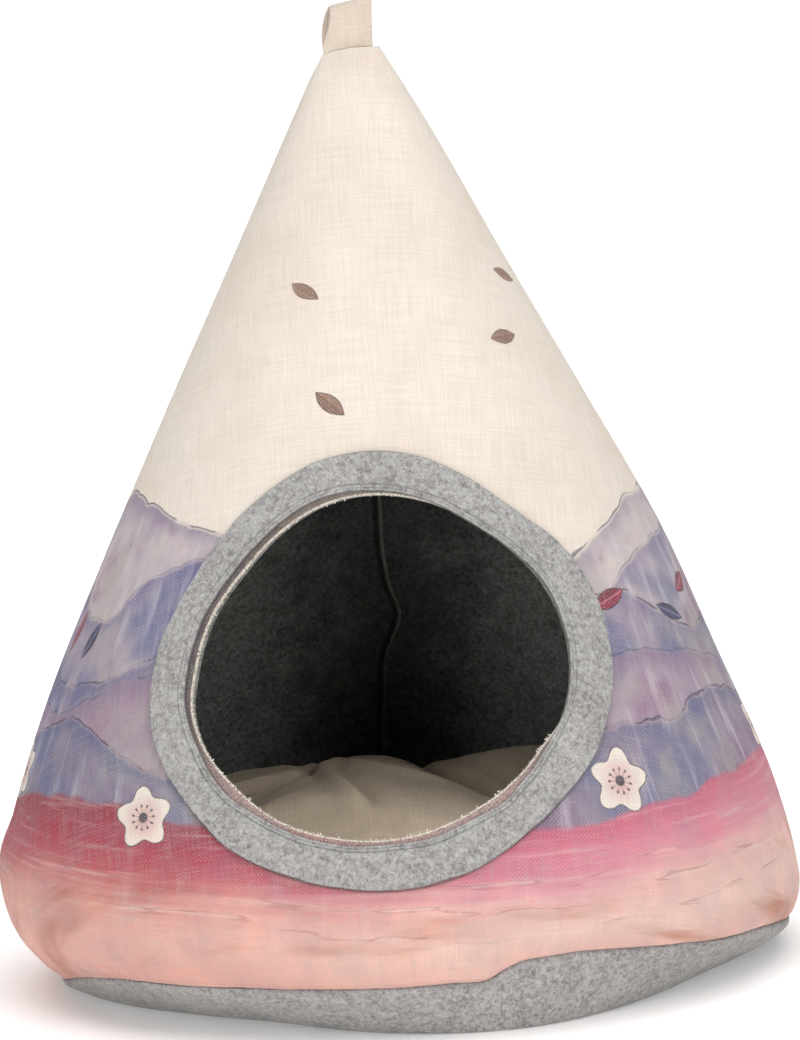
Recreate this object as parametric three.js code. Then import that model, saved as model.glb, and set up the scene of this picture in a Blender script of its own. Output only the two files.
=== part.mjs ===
// Cat teepee: a printed linen cone lined with felt, a felt band round its entrance,
// a felt base like a shallow dish, a loose cushion inside and a tape loop at the tip.
// Millimetres, +Z up, the floor at z = 0 and the entrance facing -Y.

import * as THREE from 'three';
import { mergeVertices } from 'three/addons/utils/BufferGeometryUtils.js';

const { degToRad, lerp, smoothstep } = THREE.MathUtils;

// Thicknesses of the sheets and the clearance between neighbours
const clothThick = 1.5;
const liningThick = 3;
const bandThick = 2.5;
const baseThick = 3;
const clearance = 0.3;

// The cone's sections, each a distance down the cloth from its top edge. A section is four quarter
// ellipses. Lift raises the right side and lowers the left, bow lowers both sides at the foot.
const sections = [
  { down: 0, height: 462, left: 14, right: 14, front: 6.5, back: 6.5, lift: 0, bow: 0 },
  { down: 36, height: 430, left: 30.5, right: 32, front: 27.5, back: 28.5, lift: 0, bow: 0 },
  { down: 109, height: 365, left: 64, right: 65, front: 62, back: 63, lift: 0, bow: 0 },
  { down: 193, height: 290, left: 102.5, right: 103.5, front: 100, back: 102, lift: 0, bow: 0 },
  { down: 277, height: 215, left: 140.5, right: 140, front: 134, back: 136, lift: 0, bow: 0 },
  { down: 348, height: 150, left: 171.5, right: 164.5, front: 160, back: 162, lift: 0, bow: 0 },
  { down: 412, height: 90, left: 193.5, right: 188, front: 182, back: 184, lift: -2, bow: 0 },
  { down: 456, height: 50, left: 202.5, right: 199, front: 192, back: 194, lift: -7, bow: 0 },
  { down: 473, height: 38, left: 195, right: 199.5, front: 190, back: 192, lift: 0, bow: 8 },
  { down: 486, height: 28, left: 176, right: 195, front: 184, back: 186, lift: 5.5, bow: 17 },
];
const bowPower = { front: 12, back: 4 };
const foot = sections.at(-1).down;

// Soft folds in the cloth above the foot: start and end are azimuths in degrees, positive to the right
const folds = [
  { start: 14, end: 13, spread: 4.5, depth: 4.5, from: 395, to: 486 },
  { start: -0.5, end: 5.5, spread: 5, depth: 2.5, from: 415, to: 486 },
  { start: -36, end: -28, spread: 6, depth: 3.5, from: 425, to: 486 },
  { start: -18, end: -14, spread: 8, depth: 2, from: 420, to: 486 },
  { start: 58, end: 64, spread: 9, depth: 2, from: 380, to: 486 },
  { start: 128, end: 120, spread: 8, depth: 3, from: 370, to: 486 },
  { start: -120, end: -131, spread: 9, depth: 3, from: 350, to: 486 },
];
const foldGrowth = 0.6;

// The foot seam sags along the front and the right, and jumps up just right of the deepest fold
const footJump = { at: 13.4, rise: 8, lead: 3.6, trail: 45, from: 430 };
const footSags = [
  { at: 0, spread: 12, drop: 1.5 },
  { at: 13, spread: 7, drop: 2.6 },
  { at: 55, spread: 30, drop: 6 },
];

// The flat cut is a sector: the cone's sine turns an azimuth into an angle on it
const coneSine = 0.415;
const topReach = 25;

// The entrance on the flat cut: half sizes of the opening and of the band's outer edge, how far they
// are drawn in, and the raw cloth that shows inside the band, widest at its lower left
const entrance = { down: 321.5, aside: -3.5 };
const opening = { wide: 86.3, tall: 84.8 };
const openingDrawn = [
  { at: -44, depth: 7.5, spread: 27 },
  { at: 38.5, depth: 4.8, spread: 24 },
  { at: 145, depth: 5.4, spread: 24 },
  { at: -138, depth: 2.3, spread: 24 },
];
const bandOuter = { wide: 108.7, tall: 108.3 };
const outerDrawn = [
  { at: -48, depth: 11.1, spread: 34 },
  { at: 36.6, depth: 10.6, spread: 25 },
  { at: 135, depth: 6.9, spread: 27 },
  { at: -118.6, depth: 2.1, spread: 13 },
];
const rawEdge = { mean: 1.5, swing: 2.2, widest: -125, least: 0.5 };

// Steps of the two grids: rays run out from the entrance to the crown line, the back seam and the foot,
// and above the crown line, which dips towards the back, columns run up to the tip
const crownReach = 87;
const crownDip = 0.75;
const crownRings = [36, 14, 0];
const crownSteps = 10;
const seamSteps = 6;
const footSteps = 18;
const bandRows = 3;
const wallRows = 9;
const rowCrowding = 1.35;

// Angle round the entrance, from its top, at which the rays to each stretch of the border end
const rayAngles = { crown: 56, seam: 84, foot: 180 };

// The lining stops short of the tip
const liningTop = 36;
const liningGap = 0.5;

// Base: the flat patch on the floor, which bulges at the front, and the roundness of its rim
const floorReach = { left: 159, right: 163, front: 114.5, back: 150 };
const floorBulge = { at: 15.4, rise: 53.5, spread: 36.4 };
const seamGap = 0.9;
const rimSteps = 6;
const rimRoundness = 0.25;

// Cushion: a slack, well filled round pillow, with the lumps and hollows across its top
const cushion = { reach: 160, edgeHeight: 36, crown: 52, floorShare: 0.74, puff: 3.2 };
const cushionSteps = 40;
const cushionRings = 9;
const lumps = [
  { x: -26, y: 62, along: 50, across: 40, turn: 12, rise: 8 },
  { x: 100, y: 88, along: 64, across: 44, turn: 40, rise: 18 },
  { x: 36, y: 66, along: 70, across: 18, turn: 64, rise: -6 },
  { x: -92, y: 60, along: 50, across: 40, turn: 50, rise: 6 },
  { x: -84, y: 10, along: 44, across: 22, turn: 40, rise: -6 },
  { x: -30, y: -64, along: 70, across: 40, turn: 10, rise: 5 },
];

// Tape loop at the tip: a strip that goes up, over and down, wider above the cloth's top edge
const tape = { wide: 25, thick: 1.3, tucked: 10, tuckedWide: 21.5, rise: 24, bulge: 5, skew: 0.16 };
const tapeSteps = 9;

const profileColumns = ['height', 'left', 'right', 'front', 'back', 'lift', 'bow'];
const profile = new THREE.CubicInterpolant(
  sections.map((row) => row.down),
  sections.flatMap((row) => profileColumns.map((name) => row[name])),
  profileColumns.length,
  new Float64Array(profileColumns.length),
);

const bell = (distance, spread) => Math.exp(-((distance / spread) ** 2));

// How far the folds push the cloth in at a place
function foldDepth(azimuth, down) {
  const degrees = THREE.MathUtils.radToDeg(azimuth);
  let depth = 0;
  for (const fold of folds) {
    const run = (down - fold.from) / (fold.to - fold.from);
    const strength = smoothstep(run, 0, foldGrowth);
    depth += fold.depth * strength * bell(degrees - lerp(fold.start, fold.end, run), fold.spread);
  }
  return depth;
}

function footRise(azimuth, down) {
  const degrees = THREE.MathUtils.radToDeg(azimuth);
  const past = degrees - footJump.at;
  const step = smoothstep(past, -footJump.lead, footJump.lead);
  const settle = 1 - smoothstep(past, 0, footJump.trail);
  let rise = footJump.rise * step * settle;
  for (const sag of footSags) {
    rise -= sag.drop * bell(degrees - sag.at, sag.spread);
  }
  return rise * smoothstep(down, footJump.from, foot);
}

// A point of the cone's outer face. Azimuth 0 is the front, and it grows to the right.
function wallPoint(azimuth, down) {
  const [height, left, right, front, back, lift, bow] = profile.evaluate(down);
  const across = Math.sin(azimuth);
  const ahead = Math.cos(azimuth);
  const x = (across > 0 ? right : left) * across;
  const y = -(ahead > 0 ? front : back) * ahead;
  const drop = bow * across ** (ahead > 0 ? bowPower.front : bowPower.back);
  const z = height + lift * across - drop + footRise(azimuth, down);
  const kept = 1 - foldDepth(azimuth, down) / Math.hypot(x, y);
  return new THREE.Vector3(x * kept, y * kept, z);
}

// The outer face's point, its outward normal and the direction down the cloth
function wallFrame(azimuth, down) {
  const turn = 0.004;
  const reach = 1;
  const around = wallPoint(azimuth + turn, down).sub(wallPoint(azimuth - turn, down));
  const above = wallPoint(azimuth, Math.max(down - reach, 0));
  const along = wallPoint(azimuth, Math.min(down + reach, foot)).sub(above).normalize();
  const normal = new THREE.Vector3().crossVectors(along, around).normalize();
  return { point: wallPoint(azimuth, down), normal, along };
}

function toFlat({ azimuth, down }) {
  const reach = topReach + down;
  const angle = azimuth * coneSine;
  return new THREE.Vector2(reach * Math.sin(angle), reach * Math.cos(angle));
}

function fromFlat(flat) {
  return { azimuth: Math.atan2(flat.x, flat.y) / coneSine, down: flat.length() - topReach };
}

// Half size of the opening or of the band's outer edge, at an angle from the top, in radians
function bandReach(angle, edge, drawn) {
  const degrees = THREE.MathUtils.radToDeg(angle);
  let reach = 1 / Math.hypot(Math.sin(angle) / edge.wide, Math.cos(angle) / edge.tall);
  for (const { at, depth, spread } of drawn) {
    const away = THREE.MathUtils.euclideanModulo(degrees - at + 180, 360) - 180;
    reach -= depth * bell(away, spread);
  }
  return reach;
}

// Width of the raw cloth inside the band, at an angle from the top, in radians
function rawReach(angle) {
  const swing = rawEdge.swing * Math.cos(angle - degToRad(rawEdge.widest));
  return Math.max(rawEdge.mean + swing, rawEdge.least);
}

// Azimuth of a step along the foot, counted from the front, closer together there
function footAzimuth(step) {
  const share = step / footSteps;
  return Math.PI * (0.6 * share + 0.4 * share * share);
}

function crownLine(azimuth) {
  return crownReach / Math.cos(crownDip * coneSine * azimuth) - topReach;
}

// Where the rays end, for the right half: along the crown line, down the back seam, back along the foot
function halfBorder() {
  const places = [];
  const { crown, seam, foot: last } = rayAngles;
  for (let i = 0; i <= crownSteps; i += 1) {
    const share = i / crownSteps;
    const azimuth = Math.PI * share;
    places.push({ azimuth, down: crownLine(azimuth), angle: crown * share });
  }
  for (let i = 1; i <= seamSteps; i += 1) {
    const share = i / seamSteps;
    const down = lerp(crownLine(Math.PI), foot, share);
    places.push({ azimuth: Math.PI, down, angle: lerp(crown, seam, share) });
  }
  for (let i = footSteps - 1; i >= 0; i -= 1) {
    places.push({ azimuth: footAzimuth(i), down: foot, angle: lerp(last, seam, i / footSteps) });
  }
  return places;
}

function wholeBorder() {
  const right = halfBorder();
  const left = right.slice(1, -1).reverse().map(({ azimuth, down, angle }) => (
    { azimuth: -azimuth, down, angle: -angle }
  ));
  return [...right, ...left];
}

// Rays of places from the entrance's raw edge, across the band and out to the border
function entranceRays() {
  const centre = new THREE.Vector2(entrance.aside, topReach + entrance.down);
  return wholeBorder().map((end) => {
    const angle = degToRad(end.angle);
    const outward = new THREE.Vector2(Math.sin(angle), -Math.cos(angle));
    const cut = bandReach(angle, opening, openingDrawn);
    const inner = cut + rawReach(angle);
    const outer = bandReach(angle, bandOuter, outerDrawn);
    const reaches = [cut, inner, (inner + outer) / 2, outer];
    const places = reaches.map((reach) => fromFlat(centre.clone().addScaledVector(outward, reach)));
    const start = centre.clone().addScaledVector(outward, outer);
    for (let row = 1; row < wallRows; row += 1) {
      const share = 1 - (1 - row / wallRows) ** rowCrowding;
      places.push(fromFlat(start.clone().lerp(toFlat(end), share)));
    }
    places.push(end);
    return places;
  });
}

// Columns of places from the crown line up towards the tip
function crownColumns(topEdge) {
  const rings = crownRings.filter((down) => down >= topEdge);
  const columns = [];
  for (let i = -crownSteps; i <= crownSteps; i += 1) {
    const azimuth = (Math.PI * i) / crownSteps;
    const line = crownLine(azimuth);
    columns.push([line, (line + rings[0]) / 2, ...rings].map((down) => ({ azimuth, down })));
  }
  return columns;
}

// The places' points at a distance out from the cone's outer face
function layer(lines, offset) {
  return lines.map((line) => line.map(({ azimuth, down }) => {
    const { point, normal } = wallFrame(azimuth, down);
    return point.addScaledVector(normal, offset);
  }));
}

function pushQuad(triangles, a, b, c, d) {
  triangles.push(a, b, c, a, c, d);
}

// Both faces of a sheet between two neighbouring lines of points
function pushStrip(triangles, outer, nextOuter, inner, nextInner) {
  for (let j = 0; j < outer.length - 1; j += 1) {
    pushQuad(triangles, outer[j], nextOuter[j], nextOuter[j + 1], outer[j + 1]);
    pushQuad(triangles, inner[j], inner[j + 1], nextInner[j + 1], nextInner[j]);
  }
}

function solidFrom(triangles) {
  const geometry = new THREE.BufferGeometry();
  const numbers = triangles.flatMap((point) => [point.x, point.y, point.z]);
  geometry.setAttribute('position', new THREE.Float32BufferAttribute(numbers, 3));
  const welded = mergeVertices(geometry, 1e-3);
  welded.computeVertexNormals();
  return welded;
}

// The part of a sheet round the entrance. A step of the border closes with a wall where hasWall says so.
function pushRound(triangles, rays, outerOffset, innerOffset, hasWall) {
  const outer = layer(rays, outerOffset);
  const inner = layer(rays, innerOffset);
  const last = rays[0].length - 1;
  rays.forEach((ray, k) => {
    const next = (k + 1) % rays.length;
    pushStrip(triangles, outer[k], outer[next], inner[k], inner[next]);
    pushQuad(triangles, outer[next][0], outer[k][0], inner[k][0], inner[next][0]);
    if (hasWall(ray[last], rays[next][last])) {
      pushQuad(triangles, outer[k][last], outer[next][last], inner[next][last], inner[k][last]);
    }
  });
}

// The part of a sheet above the crown line, open at its top
function pushCrown(triangles, topEdge, outerOffset, innerOffset) {
  const columns = crownColumns(topEdge);
  const outer = layer(columns, outerOffset);
  const inner = layer(columns, innerOffset);
  const last = columns[0].length - 1;
  for (let k = 0; k < columns.length - 1; k += 1) {
    pushStrip(triangles, outer[k], outer[k + 1], inner[k], inner[k + 1]);
    pushQuad(triangles, outer[k][last], outer[k + 1][last], inner[k + 1][last], inner[k][last]);
  }
}

function coneGeometry(topEdge, outerOffset, thick) {
  const triangles = [];
  const onFoot = (place, next) => place.down === foot && next.down === foot;
  pushRound(triangles, entranceRays(), outerOffset, outerOffset - thick, onFoot);
  pushCrown(triangles, topEdge, outerOffset, outerOffset - thick);
  return solidFrom(triangles);
}

function bandGeometry() {
  const triangles = [];
  const rays = entranceRays().map((ray) => ray.slice(1, bandRows + 1));
  pushRound(triangles, rays, clearance + bandThick, clearance, () => true);
  return solidFrom(triangles);
}

// One azimuth of the base: its outer and inner profile from the floor patch up to the foot seam
function baseProfile(azimuth) {
  const across = Math.sin(azimuth);
  const ahead = Math.cos(azimuth);
  const side = across > 0 ? floorReach.right : floorReach.left;
  const end = ahead > 0 ? floorReach.front : floorReach.back;
  const bulge = bell(THREE.MathUtils.radToDeg(azimuth) - floorBulge.at, floorBulge.spread);
  const reach = 1 / Math.hypot(across / side, ahead / end) + floorBulge.rise * bulge;
  const patch = new THREE.Vector3(reach * across, -reach * ahead, 0);
  const { point, along } = wallFrame(azimuth, foot);
  const rim = point.addScaledVector(along, seamGap);
  const pull = rimRoundness * rim.distanceTo(patch);
  const outward = new THREE.Vector3(across, -ahead, 0);
  const rimPull = rim.clone().addScaledVector(along, pull);
  rimPull.z = Math.max(rimPull.z, 0);
  const curve = new THREE.CubicBezierCurve3(
    patch,
    patch.clone().addScaledVector(outward, pull),
    rimPull,
    rim,
  );
  const around = new THREE.Vector3(ahead, across, 0);
  const outer = [];
  const inner = [];
  for (let i = 0; i <= rimSteps; i += 1) {
    const place = curve.getPoint(i / rimSteps);
    const inward = new THREE.Vector3().crossVectors(curve.getTangent(i / rimSteps), around);
    outer.push(place);
    inner.push(place.clone().addScaledVector(inward.normalize(), baseThick));
  }
  return { outer, inner };
}

function baseGeometry() {
  const azimuths = [];
  for (let i = 0; i <= footSteps; i += 1) azimuths.push(footAzimuth(i));
  for (let i = footSteps - 1; i > 0; i -= 1) azimuths.push(-footAzimuth(i));
  const profiles = azimuths.map(baseProfile);
  const below = new THREE.Vector3(0, 0, 0);
  const above = new THREE.Vector3(0, 0, baseThick);
  const triangles = [];
  profiles.forEach(({ outer, inner }, k) => {
    const next = profiles[(k + 1) % profiles.length];
    triangles.push(below, next.outer[0], outer[0]);
    triangles.push(above, inner[0], next.inner[0]);
    pushStrip(triangles, outer, next.outer, inner, next.inner);
    pushQuad(triangles, outer[rimSteps], next.outer[rimSteps], next.inner[rimSteps], inner[rimSteps]);
  });
  return solidFrom(triangles);
}

// Height of the cushion's top over its edge, with the lumps across it
function cushionRise(x, y) {
  const share = Math.min(Math.hypot(x, y) / cushion.reach, 1);
  const dome = Math.sqrt(1 - share ** cushion.puff);
  let rise = cushion.crown * dome;
  for (const lump of lumps) {
    const turn = degToRad(lump.turn);
    const along = (x - lump.x) * Math.cos(turn) + (y - lump.y) * Math.sin(turn);
    const across = (y - lump.y) * Math.cos(turn) - (x - lump.x) * Math.sin(turn);
    rise += lump.rise * dome * bell(along, lump.along) * bell(across, lump.across);
  }
  return rise;
}

function cushionGeometry() {
  const floor = baseThick + clearance;
  const top = [];
  const under = [];
  for (let k = 0; k < cushionSteps; k += 1) {
    const azimuth = (2 * Math.PI * k) / cushionSteps;
    const upper = [];
    const lower = [];
    for (let j = 1; j <= cushionRings; j += 1) {
      const share = Math.sin((Math.PI / 2) * (j / cushionRings));
      const x = cushion.reach * share * Math.sin(azimuth);
      const y = -cushion.reach * share * Math.cos(azimuth);
      upper.push(new THREE.Vector3(x, y, cushion.edgeHeight + cushionRise(x, y)));
      const past = Math.max(share - cushion.floorShare, 0) / (1 - cushion.floorShare);
      const lift = (cushion.edgeHeight - floor) * (1 - Math.sqrt(1 - past * past));
      lower.push(new THREE.Vector3(x, y, floor + lift));
    }
    top.push(upper);
    under.push(lower);
  }
  const peak = new THREE.Vector3(0, 0, cushion.edgeHeight + cushionRise(0, 0));
  const middle = new THREE.Vector3(0, 0, floor);
  const triangles = [];
  for (let k = 0; k < cushionSteps; k += 1) {
    const next = (k + 1) % cushionSteps;
    triangles.push(peak, top[k][0], top[next][0], middle, under[next][0], under[k][0]);
    pushStrip(triangles, under[k], under[next], top[k], top[next]);
  }
  return solidFrom(triangles);
}

// The loop's section, seen from its side: a thin strip up the front, over and down the back
function loopGeometry() {
  const startHeight = sections[0].height - tape.tucked;
  const topHeight = sections[0].height + tape.rise - tape.thick / 2;
  const leg = tape.thick / 2 + clearance;
  const front = new THREE.CatmullRomCurve3([
    new THREE.Vector3(0, -leg, startHeight),
    new THREE.Vector3(0, -leg, sections[0].height),
    new THREE.Vector3(0, -tape.bulge, lerp(sections[0].height, topHeight, 0.5)),
    new THREE.Vector3(0, -tape.bulge * 0.75, lerp(sections[0].height, topHeight, 0.88)),
    new THREE.Vector3(0, 0, topHeight),
  ]);
  const half = front.getPoints(tapeSteps);
  const line = [...half, ...half.slice(0, -1).reverse().map((p) => new THREE.Vector3(0, -p.y, p.z))];
  const outer = [];
  const inner = [];
  line.forEach((point, i) => {
    const before = line[Math.max(i - 1, 0)];
    const after = line[Math.min(i + 1, line.length - 1)];
    const side = new THREE.Vector3(0, before.z - after.z, after.y - before.y).normalize();
    outer.push(point.clone().addScaledVector(side, tape.thick / 2));
    inner.push(point.clone().addScaledVector(side, -tape.thick / 2));
  });
  const edge = (points, sign) => points.map((point) => {
    const share = smoothstep(point.z, sections[0].height, sections[0].height + tape.tucked / 2);
    const x = (sign * lerp(tape.tuckedWide, tape.wide, share)) / 2;
    const slant = tape.skew * x * smoothstep(point.z, sections[0].height, topHeight);
    return new THREE.Vector3(x, point.y, point.z + slant);
  });
  const [outerLeft, outerRight] = [edge(outer, -1), edge(outer, 1)];
  const [innerLeft, innerRight] = [edge(inner, -1), edge(inner, 1)];
  const triangles = [];
  const last = line.length - 1;
  pushStrip(triangles, outerLeft, outerRight, innerLeft, innerRight);
  pushStrip(triangles, innerLeft, outerLeft, innerRight, outerRight);
  pushQuad(triangles, outerRight[0], outerLeft[0], innerLeft[0], innerRight[0]);
  pushQuad(triangles, outerLeft[last], outerRight[last], innerRight[last], innerLeft[last]);
  return solidFrom(triangles);
}

// Finishes: printed linen, plain linen and two greys of wool felt
const linenPrint = new THREE.MeshStandardMaterial({ color: '#d9b9b6', roughness: 0.9, metalness: 0 });
const linenTape = new THREE.MeshStandardMaterial({ color: '#e6dacb', roughness: 0.9, metalness: 0 });
const linenCase = new THREE.MeshStandardMaterial({ color: '#d8cdbf', roughness: 0.92, metalness: 0 });
const feltLight = new THREE.MeshStandardMaterial({ color: '#9fa1a1', roughness: 0.97, metalness: 0 });
const feltInside = new THREE.MeshStandardMaterial({ color: '#8c8e8e', roughness: 0.97, metalness: 0 });
const feltBase = new THREE.MeshStandardMaterial({ color: '#969898', roughness: 0.97, metalness: 0 });

function piece(name, geometry, material) {
  const mesh = new THREE.Mesh(geometry, material);
  mesh.name = name;
  return mesh;
}

const teepee = new THREE.Group();
teepee.add(piece('cover', coneGeometry(0, 0, clothThick), linenPrint));
teepee.add(piece('lining', coneGeometry(liningTop, -clothThick - liningGap, liningThick), feltInside));
teepee.add(piece('entrance_band', bandGeometry(), feltLight));
teepee.add(piece('base', baseGeometry(), feltBase));
teepee.add(piece('cushion', cushionGeometry(), linenCase));
teepee.add(piece('loop', loopGeometry(), linenTape));

export default teepee;
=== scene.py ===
import math
from functools import partial

import bmesh
import bpy
import numpy as np
from mathutils import Matrix, Vector


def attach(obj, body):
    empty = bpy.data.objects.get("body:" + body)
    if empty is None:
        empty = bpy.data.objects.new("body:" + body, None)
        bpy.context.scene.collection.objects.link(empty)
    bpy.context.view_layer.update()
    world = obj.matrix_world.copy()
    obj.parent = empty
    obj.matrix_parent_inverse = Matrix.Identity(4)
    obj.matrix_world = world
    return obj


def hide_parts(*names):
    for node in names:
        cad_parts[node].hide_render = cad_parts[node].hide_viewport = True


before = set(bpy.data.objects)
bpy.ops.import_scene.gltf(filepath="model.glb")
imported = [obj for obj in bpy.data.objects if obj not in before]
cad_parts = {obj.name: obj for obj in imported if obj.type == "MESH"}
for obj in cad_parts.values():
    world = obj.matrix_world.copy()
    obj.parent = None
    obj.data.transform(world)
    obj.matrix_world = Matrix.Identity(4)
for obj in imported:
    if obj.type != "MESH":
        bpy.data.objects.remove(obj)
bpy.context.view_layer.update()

scene = bpy.context.scene
mm = 0.001  # the tables of sizes are in millimetres, the meshes in metres
print("frame:", ", ".join(sorted(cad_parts)))

# settings that many nodes share
smooth = {"interpolation_type": "SMOOTHSTEP"}
times = {"operation": "MULTIPLY", "use_clamp": True}
blend = {"data_type": "RGBA"}


def linear(hexCode):  # an sRGB hex value as the linear colour a shader takes
    parts = [int(hexCode[i:i + 2], 16) / 255 for i in (1, 3, 5)]
    return (*[p / 12.92 if p <= 0.04045 else ((p + 0.055) / 1.055) ** 2.4 for p in parts], 1.0)


def addNode(tree, kind, settings=(), sockets=(), out=0):  # adds a node, sets and links it, gives an output
    node = tree.nodes.new(kind if "Node" in kind else "ShaderNode" + kind)
    if isinstance(settings, str):  # a sum has only its operation to set
        settings = {"operation": settings}
    for name, value in dict(settings).items():
        setattr(node, name, value)
    usable = [s for s in node.inputs if s.enabled]
    for key, value in sockets.items() if isinstance(sockets, dict) else enumerate(sockets):
        socket = usable[key] if isinstance(key, int) else next(s for s in usable if s.name == key)
        if isinstance(value, bpy.types.NodeSocket):
            tree.links.new(value, socket)
        else:
            socket.default_value = value
    outputs = [s for s in node.outputs if s.enabled]
    if not outputs:
        return None
    return outputs[out] if isinstance(out, int) else next(s for s in outputs if s.name == out)


def startMaterial(name):  # an empty material, and what adds nodes to it
    material = bpy.data.materials.new(name)
    material.use_nodes = True
    material.node_tree.nodes.clear()
    return material, partial(addNode, material.node_tree)


def finishMaterial(material, add, surface):  # its shader comes last, with the constant sockets set directly
    shader = add("BsdfPrincipled", {}, surface)
    add("OutputMaterial", {}, {"Surface": shader})
    return material


def smoothstep(value, low, high):
    share = np.clip((value - low) / (high - low), 0, 1)
    return share * share * (3 - 2 * share)


def bell(distance, spread):
    return np.exp(-(distance / spread) ** 2)


def tableAt(rows, place):  # a smooth curve through a table's rows, its first column being the place
    table = np.array(rows, float)
    places, values = table[:, 0], table[:, 1:]
    secants = np.diff(values, axis=0) / np.diff(places)[:, None]
    slopes = np.vstack([secants[:1], (secants[1:] + secants[:-1]) / 2, secants[-1:]])
    i = np.clip(np.searchsorted(places, place, side="right") - 1, 0, len(places) - 2)
    step = (places[i + 1] - places[i])[..., None]
    t = (place - places[i])[..., None] / step
    rise = t * t * (3 - 2 * t)
    bend = t * (1 - t) ** 2 * slopes[i] - t * t * (1 - t) * slopes[i + 1]
    return values[i] + rise * (values[i + 1] - values[i]) + step * bend


# The cone's wall
wall = {
    # down the cloth, height, left, right, front, back, lift of the right side, bow of both sides
    "sections": [
        (0, 462, 14, 14, 6.5, 6.5, 0, 0),
        (36, 430, 30.5, 32, 27.5, 28.5, 0, 0),
        (109, 365, 64, 65, 62, 63, 0, 0),
        (193, 290, 102.5, 103.5, 100, 102, 0, 0),
        (277, 215, 140.5, 140, 134, 136, 0, 0),
        (348, 150, 171.5, 164.5, 160, 162, 0, 0),
        (412, 90, 193.5, 188, 182, 184, -2, 0),
        (456, 50, 202.5, 199, 192, 194, -7, 0),
        (473, 38, 195, 199.5, 190, 192, 0, 8),
        (486, 28, 176, 195, 184, 186, 5.5, 17),
    ],
    "bowFront": 12,
    "bowBack": 4,
    # soft folds above the foot: azimuth at the start and end, spread, depth, from, to
    "folds": [
        (14, 13, 4.5, 4.5, 395, 486),
        (-0.5, 5.5, 5, 2.5, 415, 486),
        (-36, -28, 6, 3.5, 425, 486),
        (-18, -14, 8, 2, 420, 486),
        (58, 64, 9, 2, 380, 486),
        (128, 120, 8, 3, 370, 486),
        (-120, -131, 9, 3, 350, 486),
    ],
    "foldGrowth": 0.6,
    "footJump": {"at": 13.4, "rise": 8, "lead": 3.6, "trail": 45, "from": 430},
    "footSags": [(0, 12, 1.5), (13, 7, 2.6), (55, 30, 6)],  # azimuth, spread, drop of the seam
    "coneSine": 0.415,
    "topReach": 25,
    # the lining's back seam wanders: down the cloth, how far to the right of the middle
    "seamLine": [
        (36, 0), (200, 0), (262, 0), (296, 0), (309, 1), (320, 2.5), (337, 7), (347, 4), (360, -1),
        (383, -3.5), (429, -7), (486, -8),
    ],
    "pinch": {"half": 3.4, "down": 16, "tilt": 2},  # the tip is sewn flat onto the tape
    # finer creases: azimuth, down, half length, half width, turn from straight down, depth
    "creases": [
        (13.8, 446, 28, 2.2, -4, 1.5),
        (17, 462, 18, 3.0, 4, -0.8),
        (1, 446, 22, 3.2, 20, 0.8),
        (4.5, 468, 12, 3.0, 26, 0.7),
        (-33.5, 462, 20, 3.4, 34, 1.1),
        (-30, 474, 12, 3.0, 40, 0.8),
        (-38, 470, 14, 4.0, 36, -0.6),
        (-11, 470, 10, 4.0, -8, 0.6),
        (28, 474, 9, 4.0, 12, 0.5),
        (43, 470, 12, 5.0, -10, 0.6),
        (77, 466, 16, 5.0, 14, 0.7),
        (-72, 462, 18, 5.0, -18, 0.7),
        (-96, 466, 16, 6.0, 12, 0.8),
        (108, 462, 20, 6.0, -14, 0.8),
        (150, 460, 22, 6.0, 10, 0.9),
        (-152, 458, 24, 6.0, -8, 0.9),
    ],
    # slow unevenness of the whole wall: waves round the cone, climb per mm, phase, size
    "ripples": [(2, 0.011, 0.4, 0.5), (3, -0.017, 2.1, 0.4), (5, 0.023, 4.0, 0.28), (9, -0.031, 1.2, 0.16)],
    "rippleFrom": (40, 200),
    # puckers where the foot is sewn to the base: waves round the cone, phase, size
    "puckers": [(23, 0.3, 0.11), (37, 1.7, 0.09), (61, 4.1, 0.07), (97, 2.2, 0.05)],
    "puckerReach": 13,
    "footRoll": {"from": 480.5, "depth": 1.5},
    "backSeam": {"groove": 0.9, "grooveHalf": 1.3, "swell": 0.6, "swellHalf": 7},
}
foot = wall["sections"][-1][0]


def wallPoint(azimuth, down):  # the wall's outer face: azimuth 0 is the front, growing to the right
    height, left, right, front, back, lift, bow = np.moveaxis(tableAt(wall["sections"], down), -1, 0)
    across, ahead = np.sin(azimuth), np.cos(azimuth)
    degrees = np.degrees(azimuth)
    pushed = np.zeros_like(degrees)
    for start, end, spread, depth, top, bottom in wall["folds"]:
        run = (down - top) / (bottom - top)
        strength = smoothstep(run, 0, wall["foldGrowth"])
        pushed += depth * strength * bell(degrees - start - (end - start) * run, spread)
    jump = wall["footJump"]
    past = degrees - jump["at"]
    rise = jump["rise"] * smoothstep(past, -jump["lead"], jump["lead"])
    rise = rise * (1 - smoothstep(past, 0, jump["trail"]))
    for at, spread, sag in wall["footSags"]:
        rise = rise - sag * bell(degrees - at, spread)
    rise = rise * smoothstep(down, jump["from"], foot)
    tip = wall["pinch"]
    narrow = tip["half"] / wall["sections"][0][4]
    x = np.where(across > 0, right, left) * across
    y = -np.where(ahead > 0, front, back) * ahead
    y = y * (narrow + (1 - narrow) * smoothstep(down, 0, tip["down"]))
    kept = 1 - pushed / np.maximum(np.hypot(x, y), 1)
    drop = bow * np.abs(across) ** np.where(ahead > 0, wall["bowFront"], wall["bowBack"])
    tilt = tip["tilt"] * np.minimum(across, 0) * (1 - smoothstep(down, 0, tip["down"]))
    return np.stack([x * kept, y * kept, height + lift * across - drop + rise + tilt], -1)


def toFlat(azimuth, down):  # a place on the cone as a place on the flat cut
    reach, angle = wall["topReach"] + down, azimuth * wall["coneSine"]
    return np.stack([reach * np.sin(angle), reach * np.cos(angle)], -1)


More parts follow.
